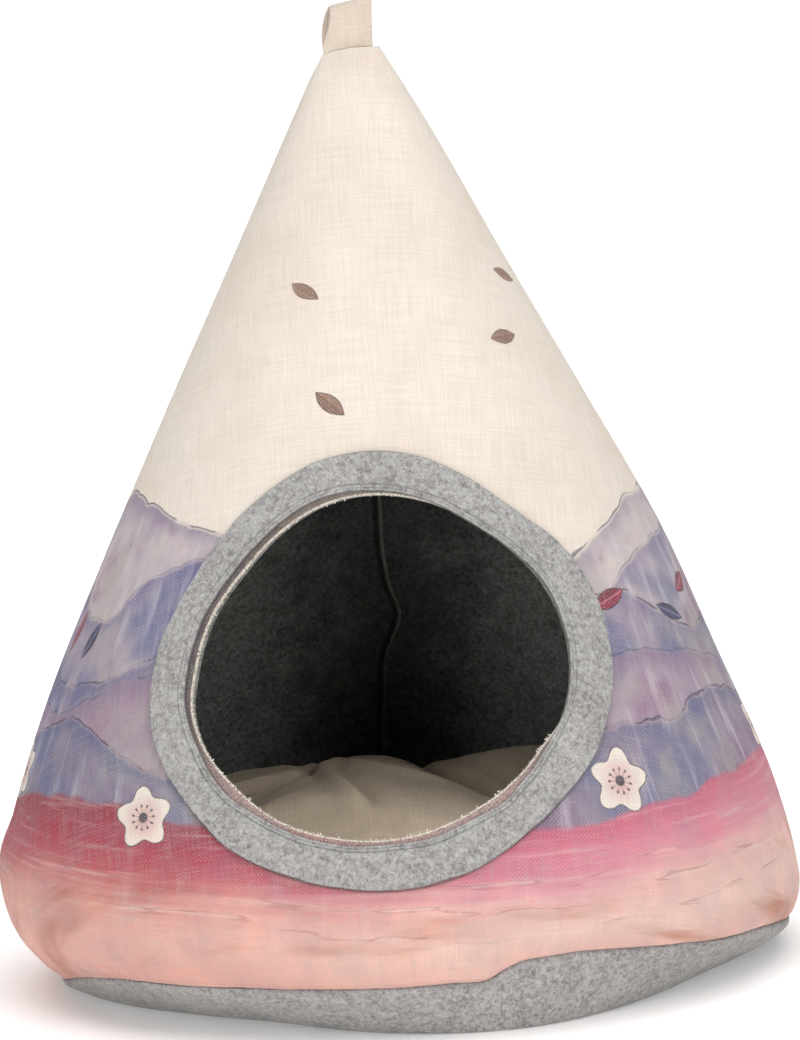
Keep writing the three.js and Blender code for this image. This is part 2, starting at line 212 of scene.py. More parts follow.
def fromFlat(flat):
    azimuth = np.arctan2(flat[..., 0], flat[..., 1]) / wall["coneSine"]
    return azimuth, np.hypot(flat[..., 0], flat[..., 1]) - wall["topReach"]


def footPuckers(azimuth):
    return sum(size * np.sin(turns * azimuth + phase) for turns, phase, size in wall["puckers"])


def relief(azimuth, down):  # how far the cloth stands out from the plain wall, in mm
    flat = toFlat(azimuth, down)
    height = footPuckers(azimuth) * np.exp((down - foot) / wall["puckerReach"])
    grown = smoothstep(down, *wall["rippleFrom"])
    for turns, climb, phase, size in wall["ripples"]:
        height += size * np.sin(turns * azimuth + climb * down + phase) * grown
    for at, place, halfLength, halfWidth, turn, depth in wall["creases"]:
        at = math.radians(at)
        away = flat - toFlat(np.array(at), np.array(float(place)))
        angle = at * wall["coneSine"] + math.radians(turn)
        along = away[..., 0] * math.sin(angle) + away[..., 1] * math.cos(angle)
        across = away[..., 0] * math.cos(angle) - away[..., 1] * math.sin(angle)
        height -= depth * bell(along, halfLength) * bell(across, halfWidth)
    seam = wall["backSeam"]
    toSeam = (math.pi - np.abs(azimuth)) * wall["coneSine"] * (wall["topReach"] + down)
    height += seam["swell"] * bell(toSeam, seam["swellHalf"])
    return height - seam["groove"] * bell(toSeam, seam["grooveHalf"])


def wallFrame(azimuth, down):  # the wall's point, its outward normal and the direction down the cloth
    step = 0.004  # radians, for the slope round the cone
    around = wallPoint(azimuth + step, down) - wallPoint(azimuth - step, down)
    along = wallPoint(azimuth, np.minimum(down + 1, foot)) - wallPoint(azimuth, np.maximum(down - 1, 0))
    along /= np.linalg.norm(along, axis=-1, keepdims=True)
    normal = np.cross(along, around)
    normal /= np.linalg.norm(normal, axis=-1, keepdims=True)
    return wallPoint(azimuth, down), normal, along


def wallLayer(azimuth, down, offset):
    point, normal = wallFrame(azimuth, down)[:2]
    return point + normal * (offset + relief(azimuth, down))[..., None]


# The entrance and its band, on the flat cut
entrance = {
    "down": 321.5,
    "aside": -3.5,
    "inner": (86.3, 84.8),
    "outer": (108.7, 108.3),
    # where the opening and the band's outer edge are drawn in: angle from the top, depth, spread
    "drawnIn": {
        "inner": [(-44, 7.5, 27), (38.5, 4.8, 24), (145, 5.4, 24), (-138, 2.3, 24)],
        "outer": [(-48, 11.1, 34), (36.6, 10.6, 25), (135, 6.9, 27), (-118.6, 2.1, 13)],
    },
    # angle from the top, how far the cloth's cut edge stands inside the opening, and the felt's outside it
    "lips": [
        (-180, 0.3, 2.2), (-165, -0.6, 3.6), (-144, -2.4, 5.2), (-126, -1.0, 5.4), (-108, -0.9, 2.9),
        (-97, -0.4, 2.6), (-84, 1.9, 1.2), (-72, 1.6, 1.4), (-60, 0.4, 2.1), (-48, -0.2, 3.2),
        (-36, -0.9, 3.8), (-24, -0.8, 3.7), (-12, -0.8, 4.0), (0, -0.4, 1.6), (12, -0.2, 0.4),
        (24, -1.0, -0.6), (36, -1.5, -1.0), (60, -1.5, -0.3), (76, -1.6, -0.9), (90, -1.5, -0.5),
        (108, 0.2, -1.3), (120, 2.7, -1.3), (132, 1.2, 1.2), (144, -0.2, 4.3), (156, 0, 3.5),
        (168, 0.3, 2.9), (180, 0.3, 2.2),
    ],
}


def bandReach(angle, edge):
    wide, tall = entrance[edge]
    reach = 1 / np.hypot(np.sin(angle) / wide, np.cos(angle) / tall)
    for at, depth, spread in entrance["drawnIn"][edge]:
        away = (np.degrees(angle) - at + 180) % 360 - 180
        reach = reach - depth * bell(away, spread)
    return reach


def lipReaches(angle):  # the cloth's cut edge and the felt's inner edge
    degrees = (np.degrees(angle) + 180) % 360 - 180
    cloth, felt = np.moveaxis(tableAt(entrance["lips"], degrees), -1, 0)
    opening = bandReach(angle, "inner")
    return opening - cloth, opening + felt


# Steps of the cone's grid: rays run from the entrance to the border, columns from the crown line to the tip
grid = {
    "crown": 48, "seam": 56, "foot": 104, "band": 12, "wall": 62, "tip": 14,
    "bandCrowding": 1.5, "crowding": 1.4, "footCrowding": 0.4, "crownReach": 87, "crownDip": 0.75,
    "rayAngles": (56, 84, 180),
}


def crownLine(azimuth):
    return grid["crownReach"] / np.cos(grid["crownDip"] * wall["coneSine"] * azimuth) - wall["topReach"]


def borderPlaces():  # where the rays end: the crown line, the back seam and the foot, right half then left
    crownAngle, seamAngle, footAngle = grid["rayAngles"]
    crownShare = np.linspace(0, 1, grid["crown"] + 1)
    seamShare = np.linspace(0, 1, grid["seam"] + 1)[1:]
    footShare = np.linspace(1, 0, grid["foot"] + 1)[1:]
    seamTop, crowding = crownLine(math.pi), grid["footCrowding"]
    azimuth = np.concatenate([
        math.pi * crownShare,
        np.full(len(seamShare), math.pi),
        math.pi * ((1 - crowding) * footShare + crowding * footShare ** 2),
    ])
    down = np.concatenate([
        crownLine(math.pi * crownShare),
        seamTop + (foot - seamTop) * seamShare,
        np.full(len(footShare), float(foot)),
    ])
    angle = np.concatenate([
        crownAngle * crownShare,
        crownAngle + (seamAngle - crownAngle) * seamShare,
        footAngle + (seamAngle - footAngle) * footShare,
    ])
    mirror = slice(-2, 0, -1)
    return (np.concatenate([azimuth, -azimuth[mirror]]), np.concatenate([down, down[mirror]]),
            np.radians(np.concatenate([angle, -angle[mirror]])))


def entranceRays(recess):  # azimuth, down and distance from the cut edge, a row for each step out from it
    endAzimuth, endDown, angle = borderPlaces()
    centre = np.array([entrance["aside"], wall["topReach"] + entrance["down"]])
    outward = np.stack([np.sin(angle), -np.cos(angle)], -1)
    cut, outer = lipReaches(angle)[0] + recess, bandReach(angle, "outer")
    shares = np.linspace(0, 1, grid["band"] + 1) ** grid["bandCrowding"]
    flats = [centre + outward * (cut + (outer - cut) * share)[:, None] for share in shares]
    start, end = flats[-1], toFlat(endAzimuth, endDown)
    for share in np.linspace(0, 1, grid["wall"] + 1)[1:]:
        flats.append(start + (end - start) * (1 - (1 - share) ** grid["crowding"]))
    azimuth, down = fromFlat(np.array(flats))
    azimuth[-1], down[-1] = endAzimuth, endDown
    fromCut = np.linalg.norm(np.array(flats) - flats[0], axis=-1)
    return azimuth, down, fromCut


def crownColumns(topEdge):
    azimuth = np.linspace(-math.pi, math.pi, 2 * grid["crown"] + 1)
    share = np.linspace(0, 1, grid["tip"] + 1)[:, None]
    line = crownLine(azimuth)[None, :]
    down = line + (topEdge - line) * share
    return np.broadcast_to(azimuth, down.shape).copy(), down


def gridFaces(rows, cols, closedCols, closedRows=False, start=0, flip=False):
    r, c = np.meshgrid(np.arange(rows - (not closedRows)), np.arange(cols - (not closedCols)), indexing="ij")
    nextRow, nextCol = (r + 1) % rows, (c + 1) % cols
    corners = [r * cols + c, r * cols + nextCol, nextRow * cols + nextCol, nextRow * cols + c]
    quads = np.stack([corner.ravel() for corner in corners], -1) + start
    return quads[:, ::-1] if flip else quads


def domedFaces(rows, cols):  # a closed form's quads, with a fan to a point of its own at either end
    faces = gridFaces(rows, cols, True).tolist()
    first, last = rows * cols, (rows - 1) * cols
    for k in range(cols):
        ahead = (k + 1) % cols
        faces += [(ahead, k, first), (last + k, last + ahead, first + 1)]
    return faces


def makePiece(name, points, faces, uvMaps, material, sharp=None):  # points in mm, uv maps per point
    mesh = bpy.data.meshes.new(name)
    mesh.from_pydata((points * mm).tolist(), [], [tuple(face) for face in faces])
    corner = np.zeros(len(mesh.loops), np.int32)
    mesh.loops.foreach_get("vertex_index", corner)
    for title, places in uvMaps.items():
        layer = mesh.uv_layers.new(name=title)
        layer.data.foreach_set("uv", places[corner].astype(np.float32).ravel())
    work = bmesh.new()
    work.from_mesh(mesh)
    bmesh.ops.remove_doubles(work, verts=work.verts, dist=1e-7)
    work.to_mesh(mesh)
    work.free()
    mesh.shade_smooth()
    if sharp:
        mesh.set_sharp_from_angle(angle=math.radians(sharp))
    mesh.materials.append(material)
    piece = bpy.data.objects.new(name, mesh)
    scene.collection.objects.link(piece)
    print(f"{name}: {len(mesh.polygons)} faces")
    return piece


def seamAway(azimuth, down):  # distance to the right of the lining's back seam, seen from the front
    side = np.where(azimuth > 0, math.pi - azimuth, -math.pi - azimuth)
    return side * wall["coneSine"] * (wall["topReach"] + down) - tableAt(wall["seamLine"], down)[..., 0]


def coneSheet(name, topEdge, outerOffset, thick, material, recess=0, inside=None):  # the cover or its lining
    azimuth, down, fromCut = entranceRays(recess)
    tipAzimuth, tipDown = crownColumns(topEdge)
    farOff = np.full(tipDown.shape, 500.0)  # the tip is nowhere near the entrance
    sheets = [(azimuth, down, fromCut), (tipAzimuth, tipDown, farOff)]
    points, faces, cut, place, edge, seam, count = [], [], [], [], [], [], 0
    for around, low, away in sheets:
        closed = around is azimuth
        rows, cols = low.shape
        roll = wall["footRoll"]
        turned = roll["depth"] * smoothstep(low, roll["from"], foot) ** 2
        inner = outerOffset - thick - (inside(around, low) if inside else 0)
        points += [wallLayer(around, low, outerOffset - turned).reshape(-1, 3),
                   wallLayer(around, low, inner - turned).reshape(-1, 3)]
        size = rows * cols
        outerStart, innerStart = count, count + size
        faces += [gridFaces(rows, cols, closed, start=outerStart),
                  gridFaces(rows, cols, closed, start=innerStart, flip=True)]
        k = np.arange(cols if closed else cols - 1)
        ahead = (k + 1) % cols
        last = (rows - 1) * cols
        if closed:  # the entrance's edge, and the foot's where both ends of a step lie on it
            rim = [ahead + outerStart, k + outerStart, k + innerStart, ahead + innerStart]
            faces.append(np.stack(rim, -1))
            onFoot = (low[-1][k] > foot - 1e-6) & (low[-1][ahead] > foot - 1e-6)
            k, ahead = k[onFoot], ahead[onFoot]
        rim = [k + outerStart, ahead + outerStart, ahead + innerStart, k + innerStart]
        faces.append(np.stack(rim, -1) + last)
        for _ in range(2):
            cut.append(toFlat(around, low).reshape(-1, 2) * mm)
            place.append(np.stack([around / (2 * math.pi) + 0.5, low / foot], -1).reshape(-1, 2))
            pastBand = away - (away[grid["band"]] if closed else 0)
            edge.append(np.stack([away, pastBand], -1).reshape(-1, 2) * mm)
            seam.append(np.stack([seamAway(around, low) * mm, low / foot], -1).reshape(-1, 2))
        count += 2 * size
    uvMaps = {"flatCut": cut, "printPlace": place, "rawEdge": edge} if not inside else {"backSeam": seam}
    uvMaps = {title: np.vstack(values) for title, values in uvMaps.items()}
    return makePiece(name, np.vstack(points), np.vstack(faces), uvMaps, material, sharp=50)


# Weave, shared by several materials: lengths in threads, the relief in mm
weaveLook = {"wander": 1.3, "wanderOver": 5, "slubLength": 24, "relief": 0.3, "strength": 0.5}


def weave(add, place, spacing):  # height, slubs and over-and-under of a plain weave, from a place in metres
    look = weaveLook
    drift = add("TexNoise", {}, {"Vector": place, "Scale": 1 / (look["wanderOver"] * spacing), "Detail": 1.0},
                "Color")
    moved = add("VectorMath", "MULTIPLY_ADD", [drift, (look["wander"] * spacing,) * 3, place])
    phase = add("VectorMath", "SCALE", [moved, math.pi / spacing])
    waves = add("VectorMath", "SINE", [phase])
    x = add("SeparateXYZ", {}, [waves], "X")
    both = add("Math", "MULTIPLY", [x, x.node.outputs["Y"]])
    threads = add("Math", "ABSOLUTE", [both])
    overUnder = add("Math", "MULTIPLY_ADD", [both, 0.15, 0.15])
    height = add("Math", "MULTIPLY_ADD", [threads, 0.7, overUnder])
    slubs, along = [], 1 / look["slubLength"]
    for stretch in ((1, along), (along, 1)):  # along the warp, then the weft
        run = (stretch[0] / spacing, stretch[1] / spacing, 0)
        thread = add("VectorMath", "MULTIPLY", [place, run])
        slubs.append(add("TexNoise", {}, {"Vector": thread, "Scale": 0.9, "Detail": 2.0}))
    return height, add("Math", "ADD", slubs), both


def paintedWeaveShadeAndSlubs(add, colour, height, slub, depth, unevenness):  # painted shade between the threads and a painted highlight on their tops, with the slubs' own uneven tone
    shade = add("MapRange", {}, [height, 0.0, 1.0, 1 - depth, 1 + depth * 0.35])
    streak = add("MapRange", {}, [slub, 0.7, 1.3, 1 + unevenness, 1 - unevenness])
    both = add("Math", "MULTIPLY", [shade, streak])
    return add("VectorMath", "SCALE", [colour, both])


def weaveBump(add, height, slub, under=()):  # the threads' relief, on a larger one where there is one
    raised = add("Math", "MULTIPLY_ADD", [slub, 0.3, height])
    sockets = {"Strength": weaveLook["strength"], "Distance": weaveLook["relief"] * mm, "Height": raised}
    return add("Bump", {}, {**sockets, **dict(under)})


def fillRamp(ramp, tones):  # a colour ramp's places and tones
    stops = ramp.node.color_ramp.elements
    for number, (place, hexCode) in enumerate(tones):
        stop = stops[number] if number < 2 else stops.new(1.0)
        stop.position = place
        stop.color = linear(hexCode)


# Printed cover cloth
coverLook = {
    "thick": 1.5,
    "threadSpacing": 0.95 * mm,  # coarser than the cloth's own, so that it shows
    "weftPaler": 0.2,
    "bare": "#EADFD2",
    "bareShade": "#E7D9CA",
    "rawEdge": "#F1E7DA",
    "paintedShade": "#5A504A",  # painted shade: on the strip inside the band above, in the gaps of its raw edge, along the band's outer edge and in the back seam; the strip is undyed cloth below
    "stripPale": "#C4A59C",
    "seam": {"line": (0.3, 1.3), "dark": 0.6, "dip": 5, "depth": 1.5, "strength": 0.7},  # at the back, in mm: a line of painted shade in the seam's groove, and the dip of its bump
    "deepest": 84,  # bearing round the cone at which the washes are strongest
    # washes like soft hills, back to front: place down the cloth, waves (turns, phase, size), tones and
    # the strengths of the blue pools, the wash and the pen line
    "hills": [
        {"at": 0.530, "waves": ((2, 0.5, 0.030), (5, 1.9, 0.011)), "wash": "#A99BAB", "edge": "#8D8099",
         "blue": 0.2, "strength": 0.9, "pen": 0.75},
        {"at": 0.580, "waves": ((3, 2.6, 0.034), (7, 0.4, 0.010)), "wash": "#8F839C", "edge": "#756C92",
         "blue": 0.8, "strength": 0.88, "pen": 0.4},
        {"at": 0.645, "waves": ((2, 3.9, 0.038), (5, 5.0, 0.015)), "wash": "#7F7794", "edge": "#5F6088",
         "blue": 0.55, "strength": 0.85, "pen": 0.75},
        {"at": 0.705, "waves": ((4, 1.2, 0.026), (9, 2.7, 0.008)), "wash": "#A58C9D", "edge": "#7C6685",
         "blue": 0.0, "strength": 0.85, "pen": 0.4},
        {"at": 0.762, "waves": ((3, 4.8, 0.024), (8, 0.9, 0.009)), "wash": "#706D88", "edge": "#4C5A86",
         "blue": 0.6, "strength": 0.82, "pen": 0.75},
    ],
    "blue": "#50618F",
    "mauve": "#8A6080",
    "grey": "#A9A19F",
    "streak": "#DDD5DD",
    "ink": "#3A3550",
    # brush bands at the foot from their upper edge downwards, on the deep side and on the pale side
    "deepBands": [
        (0.000, "#98293A"), (0.026, "#AE3747"), (0.046, "#BE5058"), (0.060, "#D28078"),
        (0.078, "#E5A396"), (0.110, "#EFB6A6"), (0.160, "#E4A595"),
    ],
    "paleBands": [
        (0.000, "#C85C76"), (0.026, "#D8768C"), (0.046, "#DF8A9A"), (0.060, "#E8A5A8"),
        (0.078, "#EFBCB2"), (0.110, "#F1CABC"), (0.160, "#ECBAAC"),
    ],
    "bandEdge": {"at": 0.834, "waves": ((1, 1.57, 0.022), (2, 1.0, 0.014), (3, 4.4, 0.010))},
    "bandReach": (-0.02, 0.18),  # how far above and below that edge the bands run
    "brushLines": (0.076, 0.101, 0.128),
    "brushLine": "#9A5248",
    "ochre": "#C08A5C",
    # a ring of blossoms and four of drifting leaves: number round the cone, place down the cloth and scatter,
    # radius in mm, share that shows, petals (none on a leaf), how wavy or how broad, tones, seed
    "motifs": [
        {"round": 9, "at": 0.795, "scatter": 0.022, "radius": 16, "shown": 1.0, "lobes": 5, "wave": 0.15,
         "petal": "#EFE5D8", "blush": "#D9A7A6", "heart": "#2B2B3F", "line": "#3A3244", "seed": 3.0},
        {"round": 10, "at": 0.40, "scatter": 0.07, "radius": 10, "shown": 0.62, "lobes": 0, "wave": 0.45,
         "petal": "#A37F6C", "blush": "#6E4F42", "heart": "#6E4F42", "line": "#5A4038", "seed": 12.0},
        {"round": 8, "at": 0.25, "scatter": 0.06, "radius": 8.5, "shown": 0.5, "lobes": 0, "wave": 0.45,
         "petal": "#AE8B77", "blush": "#7A5A4B", "heart": "#7A5A4B", "line": "#5A4038", "seed": 27.0},
        {"round": 12, "at": 0.66, "scatter": 0.06, "radius": 13, "shown": 0.8, "lobes": 0, "wave": 0.4,
         "petal": "#A8304A", "blush": "#6E1E38", "heart": "#D98A96", "line": "#3A2030", "seed": 44.0},
        {"round": 14, "at": 0.61, "scatter": 0.07, "radius": 12, "shown": 0.65, "lobes": 0, "wave": 0.38,
         "petal": "#353A66", "blush": "#1F2140", "heart": "#8E94BC", "line": "#1F2036", "seed": 61.0},
    ],
}


def belowLine(add, turn, down, start, waves):  # how far below a wavy line round the cone, as a share
    line = start
    for turns, phase, size in waves:
        angle = add("Math", "MULTIPLY_ADD", [turn, float(turns), phase])
        wave = add("Math", "SINE", [angle])
        line = add("Math", "MULTIPLY_ADD", [wave, size, line])
    return add("Math", "SUBTRACT", [down, line])


def paintHills(add, colour, turn, down, paint):
    look = coverLook
    patchy = add("MapRange", {}, [paint["blotch"], 0.3, 0.7, 0.6, 1.1])
    deep = add("MapRange", smooth, [paint["tide"], 0.0, 1.0, 0.72, 1.0])
    pale = add("MapRange", smooth, [paint["strokes"], 0.52, 0.70, 0.0, 0.34])
    bluer = add("MapRange", smooth, [paint["pool"], 0.50, 0.66, 0.0, 1.0])
    redder = add("Math", times, [add("MapRange", smooth, [paint["pool"], 0.34, 0.46, 0.6, 0.0]),
                                 add("MapRange", smooth, [paint["blotch"], 0.4, 0.6, 0.3, 1.0])])
    greyer = add("Math", times, [add("MapRange", smooth, [paint["wobble"], 0.50, 0.62, 0.0, 0.55]),
                                 add("MapRange", smooth, [paint["blotch"], 0.4, 0.6, 1.0, 0.2])])
    broken = add("MapRange", smooth, [paint["blotch"], 0.40, 0.52, 0.2, 1.0])
    for hill in look["hills"]:
        start = add("Math", "MULTIPLY_ADD", [paint["wobble"], 0.05, hill["at"] - 0.025])
        below = belowLine(add, turn, down, start, hill["waves"])
        inside = add("MapRange", smooth, [below, 0.0, 0.006, 0.0, hill["strength"]])
        amount = add("Math", times, [inside, add("MapRange", smooth, [below, 0.02, 0.20, 1.0, 0.72])])
        for share in (patchy, deep):
            amount = add("Math", times, [amount, share])
        wet = add("Math", times, [add("Math", times, [inside, bluer]), deep])
        pooled = add("MapRange", smooth, [below, 0.004, 0.028, 0.8, 0.0])
        away = add("Math", "ABSOLUTE", [below])
        pen = add("MapRange", smooth, [away, 0.0006, 0.0019, hill["pen"], 0.0])
        # the wash, its warmer and greyer patches, wet blue pools, pale strokes, the edge and its pen line
        layers = [
            (amount, hill["wash"]),
            (add("Math", times, [inside, redder]), look["mauve"]),
            (add("Math", times, [inside, greyer]), look["grey"]),
            (add("Math", times, [wet, hill["blue"]]), look["blue"]),
            (add("Math", times, [inside, pale]), look["streak"]),
            (add("Math", times, [pooled, amount]), hill["edge"]),
            (add("Math", times, [pen, broken]), look["ink"]),
        ]
        for share, tone in layers:
            colour = add("Mix", blend, [share, colour, linear(tone)])
    return colour


def paintBands(add, colour, turn, down, paint):
    look = coverLook
    edge = look["bandEdge"]
    start = add("Math", "MULTIPLY_ADD", [paint["wobble"], 0.04, edge["at"] - 0.02])
    below = belowLine(add, turn, down, start, edge["waves"])
    ragged = add("Math", "MULTIPLY_ADD", [paint["sweep"], 0.045, below])
    low, high = look["bandReach"]
    deeper = add("MapRange", smooth, [paint["tide"], 0.3, 1.0, 1.0, 0.72])  # the deep side's run lower
    stretched = add("Math", "MULTIPLY", [ragged, deeper])
    share = add("MapRange", {}, [stretched, low + 0.022, high + 0.022, 0.0, 1.0])
    ramps = []
    for bands in ("paleBands", "deepBands"):
        ramps.append(add("ValToRGB", {}, [share]))
        fillRamp(ramps[-1], [((place - low) / (high - low), tone) for place, tone in look[bands]])
    brushed = add("Mix", blend, [add("MapRange", smooth, [paint["tide"], 0.25, 0.8, 0.0, 1.0]), *ramps])
    streaked = add("MapRange", smooth, [paint["sweep"], 0.52, 0.70, 0.0, 0.22])
    brushed = add("Mix", blend, [streaked, brushed, linear(look["bare"])])
    inside = add("MapRange", smooth, [below, 0.0, 0.007, 0.0, 0.95])
    patchy = add("MapRange", {}, [paint["blotch"], 0.3, 0.7, 0.74, 1.06])
    colour = add("Mix", blend, [add("Math", times, [inside, patchy]), colour, brushed])
    rubbed = add("MapRange", smooth, [below, 0.06, 0.10, 0.0, 1.0])  # slanting smudges low on the bands
    for noise, *reach in (("slant", 0.50, 0.70, 0.0, 0.7), ("blotch", 0.3, 0.7, 0.5, 1.0)):
        rubbed = add("Math", times, [rubbed, add("MapRange", smooth, [paint[noise], *reach])])
    colour = add("Mix", dict(blend, blend_type="MULTIPLY"), [rubbed, colour, linear(look["ochre"])])
    dash = add("MapRange", smooth, [paint["sweep"], 0.47, 0.58, 0.0, 1.0])
    for place in look["brushLines"]:
        away = add("Math", "ABSOLUTE", [add("Math", "SUBTRACT", [ragged, place])])
        pen = add("MapRange", smooth, [away, 0.0006, 0.0024, 0.4, 0.0])
        colour = add("Mix", blend, [add("Math", times, [pen, dash]), colour, linear(look["brushLine"])])
    return colour


def motifPlace(add, across, down, ring):  # mm from the middle of a cell's motif, and whether it shows
    cell = 2 * math.pi * (wall["topReach"] + ring["at"] * foot) * wall["coneSine"] / ring["round"]
    along = add("Math", "MULTIPLY", [across, float(ring["round"])])
    number = add("Math", "FLOOR", [along])
    key = add("Math", "ADD", [number, ring["seed"]])
    chance = add("TexWhiteNoise", {"noise_dimensions": "1D"}, {"W": key}, "Color")
    luck = add("SeparateColor", {}, [chance], "Red")
    aside, shown = luck.node.outputs["Green"], luck.node.outputs["Blue"]
    inCell = add("Math", "SUBTRACT", [along, number])
    shift = add("Math", "MULTIPLY_ADD", [aside, 0.4, 0.3])
    x = add("Math", "MULTIPLY", [add("Math", "SUBTRACT", [inCell, shift]), cell])
    level = add("Math", "MULTIPLY_ADD", [luck, 2 * ring["scatter"], ring["at"] - ring["scatter"]])
    y = add("Math", "MULTIPLY", [add("Math", "SUBTRACT", [down, level]), float(foot)])
    spot = add("CombineXYZ", {}, [x, y, 0.0])
    spin = add("Math", "MULTIPLY", [aside, 6.0])
    turned = add("VectorRotate", {"rotation_type": "Z_AXIS"}, {"Vector": spot, "Angle": spin})
    return turned, add("Math", "LESS_THAN", [shown, ring["shown"]])


def paintMotifs(add, colour, across, down, paint, ring):  # blossoms or leaves, one to a cell round the cone
    radius, wave, leaf = ring["radius"], ring["wave"], not ring["lobes"]
    turned, seen = motifPlace(add, across, down, ring)
    reach = add("VectorMath", "LENGTH", [turned], "Value")
    share = add("Math", "DIVIDE", [reach, radius])
    x = add("SeparateXYZ", {}, [turned], "X")
    y = x.node.outputs["Y"]
    offVein = add("Math", "ABSOLUTE", [y])
    bearing = add("Math", "ARCTAN2", [y, x])
    waves = {"vein": 35} if leaf else {"lobe": ring["lobes"], "vein": 35, "stamen": 11}
    for title, turns in waves.items():
        waves[title] = add("Math", "COSINE", [add("Math", "MULTIPLY", [bearing, float(turns)])])
    if leaf:  # it closes to a point at both ends
        closing = add("Math", "MULTIPLY_ADD", [add("Math", "POWER", [x, 2.0]), wave / radius, -wave * radius])
        lens = add("Math", "ADD", [offVein, closing])
        past = add("Math", "MULTIPLY_ADD", [paint["strokes"], 1.6, lens])
    else:
        lobed = add("Math", "MULTIPLY_ADD", [waves["lobe"], wave * radius, (0.88 - wave) * radius])
        rim = add("Math", "MULTIPLY_ADD", [paint["blotch"], 0.24 * radius, lobed])
        past = add("Math", "SUBTRACT", [reach, rim])
    warmth = add("Math", times, [add("MapRange", smooth, [share, 0.25, 0.85, 0.75, 0.0]),
                                 add("MapRange", smooth, [paint["blotch"], 0.35, 0.65, 0.5, 1.0])])
    veins = add("Math", times, [add("MapRange", smooth, [waves["vein"], 0.6, 1.0, 0.0, 0.3]),
                                add("MapRange", smooth, [share, 0.85, 0.45, 0.0, 1.0])])
    blushes = [warmth, veins]
    if leaf:  # one half is darker
        blushes.append(add("MapRange", smooth, [y, -0.5, 0.5, 0.0, 0.55]))
    petal = linear(ring["petal"])
    for amount in blushes:
        petal = add("Mix", blend, [amount, petal, linear(ring["blush"])])
    filled = add("MapRange", smooth, [past, -0.5, 0.5, 0.93, 0.0])
    colour = add("Mix", blend, [add("Math", times, [filled, seen]), colour, petal])
    if leaf:  # a midrib
        marks = [add("Math", times, [add("MapRange", smooth, [offVein, 0.25, 0.7, 0.5, 0.0]),
                                     add("MapRange", smooth, [share, 0.7, 0.95, 1.0, 0.0])])]
    else:  # a heart, and a ring of stamens
        away = add("Math", "ABSOLUTE", [add("Math", "SUBTRACT", [share, 0.36])])
        marks = [add("MapRange", smooth, [share, 0.13, 0.19, 0.9, 0.0])]
        marks.append(add("Math", times, [add("MapRange", smooth, [away, 0.03, 0.06, 0.85, 0.0]),
                                         add("MapRange", smooth, [waves["stamen"], 0.3, 0.7, 0.0, 1.0])]))
        marks.append(add("Math", times, [add("MapRange", smooth, [share, 0.30, 0.36, 0.6, 0.0]),
                                         add("MapRange", smooth, [waves["stamen"], 0.85, 0.97, 0.0, 1.0])]))
    for mark in marks:
        colour = add("Mix", blend, [add("Math", times, [mark, seen]), colour, linear(ring["heart"])])
    edge = add("MapRange", smooth, [add("Math", "ABSOLUTE", [past]), 0.2, 0.65, 0.8, 0.0])
    pen = add("Math", times, [edge, add("MapRange", smooth, [paint["strokes"], 0.3, 0.6, 0.45, 1.0])])
    return add("Mix", blend, [add("Math", times, [pen, seen]), colour, linear(ring["line"])])


def paintStrip(add, colour, down, solid):  # the cut edge inside the band with painted shade in its gaps, the strip with painted shade above, and a painted contact shadow with a pressed line beside the band
    look = coverLook
    fromEdge = add("UVMap", {"uv_map": "rawEdge"})
    cutAway = add("SeparateXYZ", {}, [fromEdge], "X")
    fromBand = add("Math", "ABSOLUTE", [cutAway.node.outputs["Y"]])
    fleck = add("TexNoise", {}, {"Vector": solid, "Scale": 1 / (0.9 * mm), "Detail": 2.0})
    # the strip: painted shade above, where the band overhangs it, and undyed cloth below
    undyedVsPaintedShade = add("Math", times, [add("MapRange", smooth, [down, 0.72, 0.80, 0.0, 1.0]),
                                 add("MapRange", smooth, [fleck, 0.42, 0.58, 0.4, 1.0])])
    strip = add("Mix", blend, [undyedVsPaintedShade, linear(look["paintedShade"]), linear(look["stripPale"])])
    # painted shade in the gaps between the raw edge's threads
    gaps = add("MapRange", smooth, [fleck, 0.38, 0.5, 0.75, 0.0])
    raw = add("Mix", blend, [gaps, linear(look["rawEdge"]), linear(look["paintedShade"])])
    # a painted contact shadow along the band's outer edge, which also stands for a pressed line; then the
    # strip; then the raw edge
    for away, near, far, strength, tone in (
            (fromBand, 0.5, 1.5, 0.62, linear(look["paintedShade"])),
            (cutAway, 6, 9, 0.85, strip),
            (cutAway, 0.3, 0.9, 0.95, raw)):
        amount = add("MapRange", smooth, [away, near * mm, far * mm, strength, 0.0])
        colour = add("Mix", blend, [amount, colour, tone])
    return colour


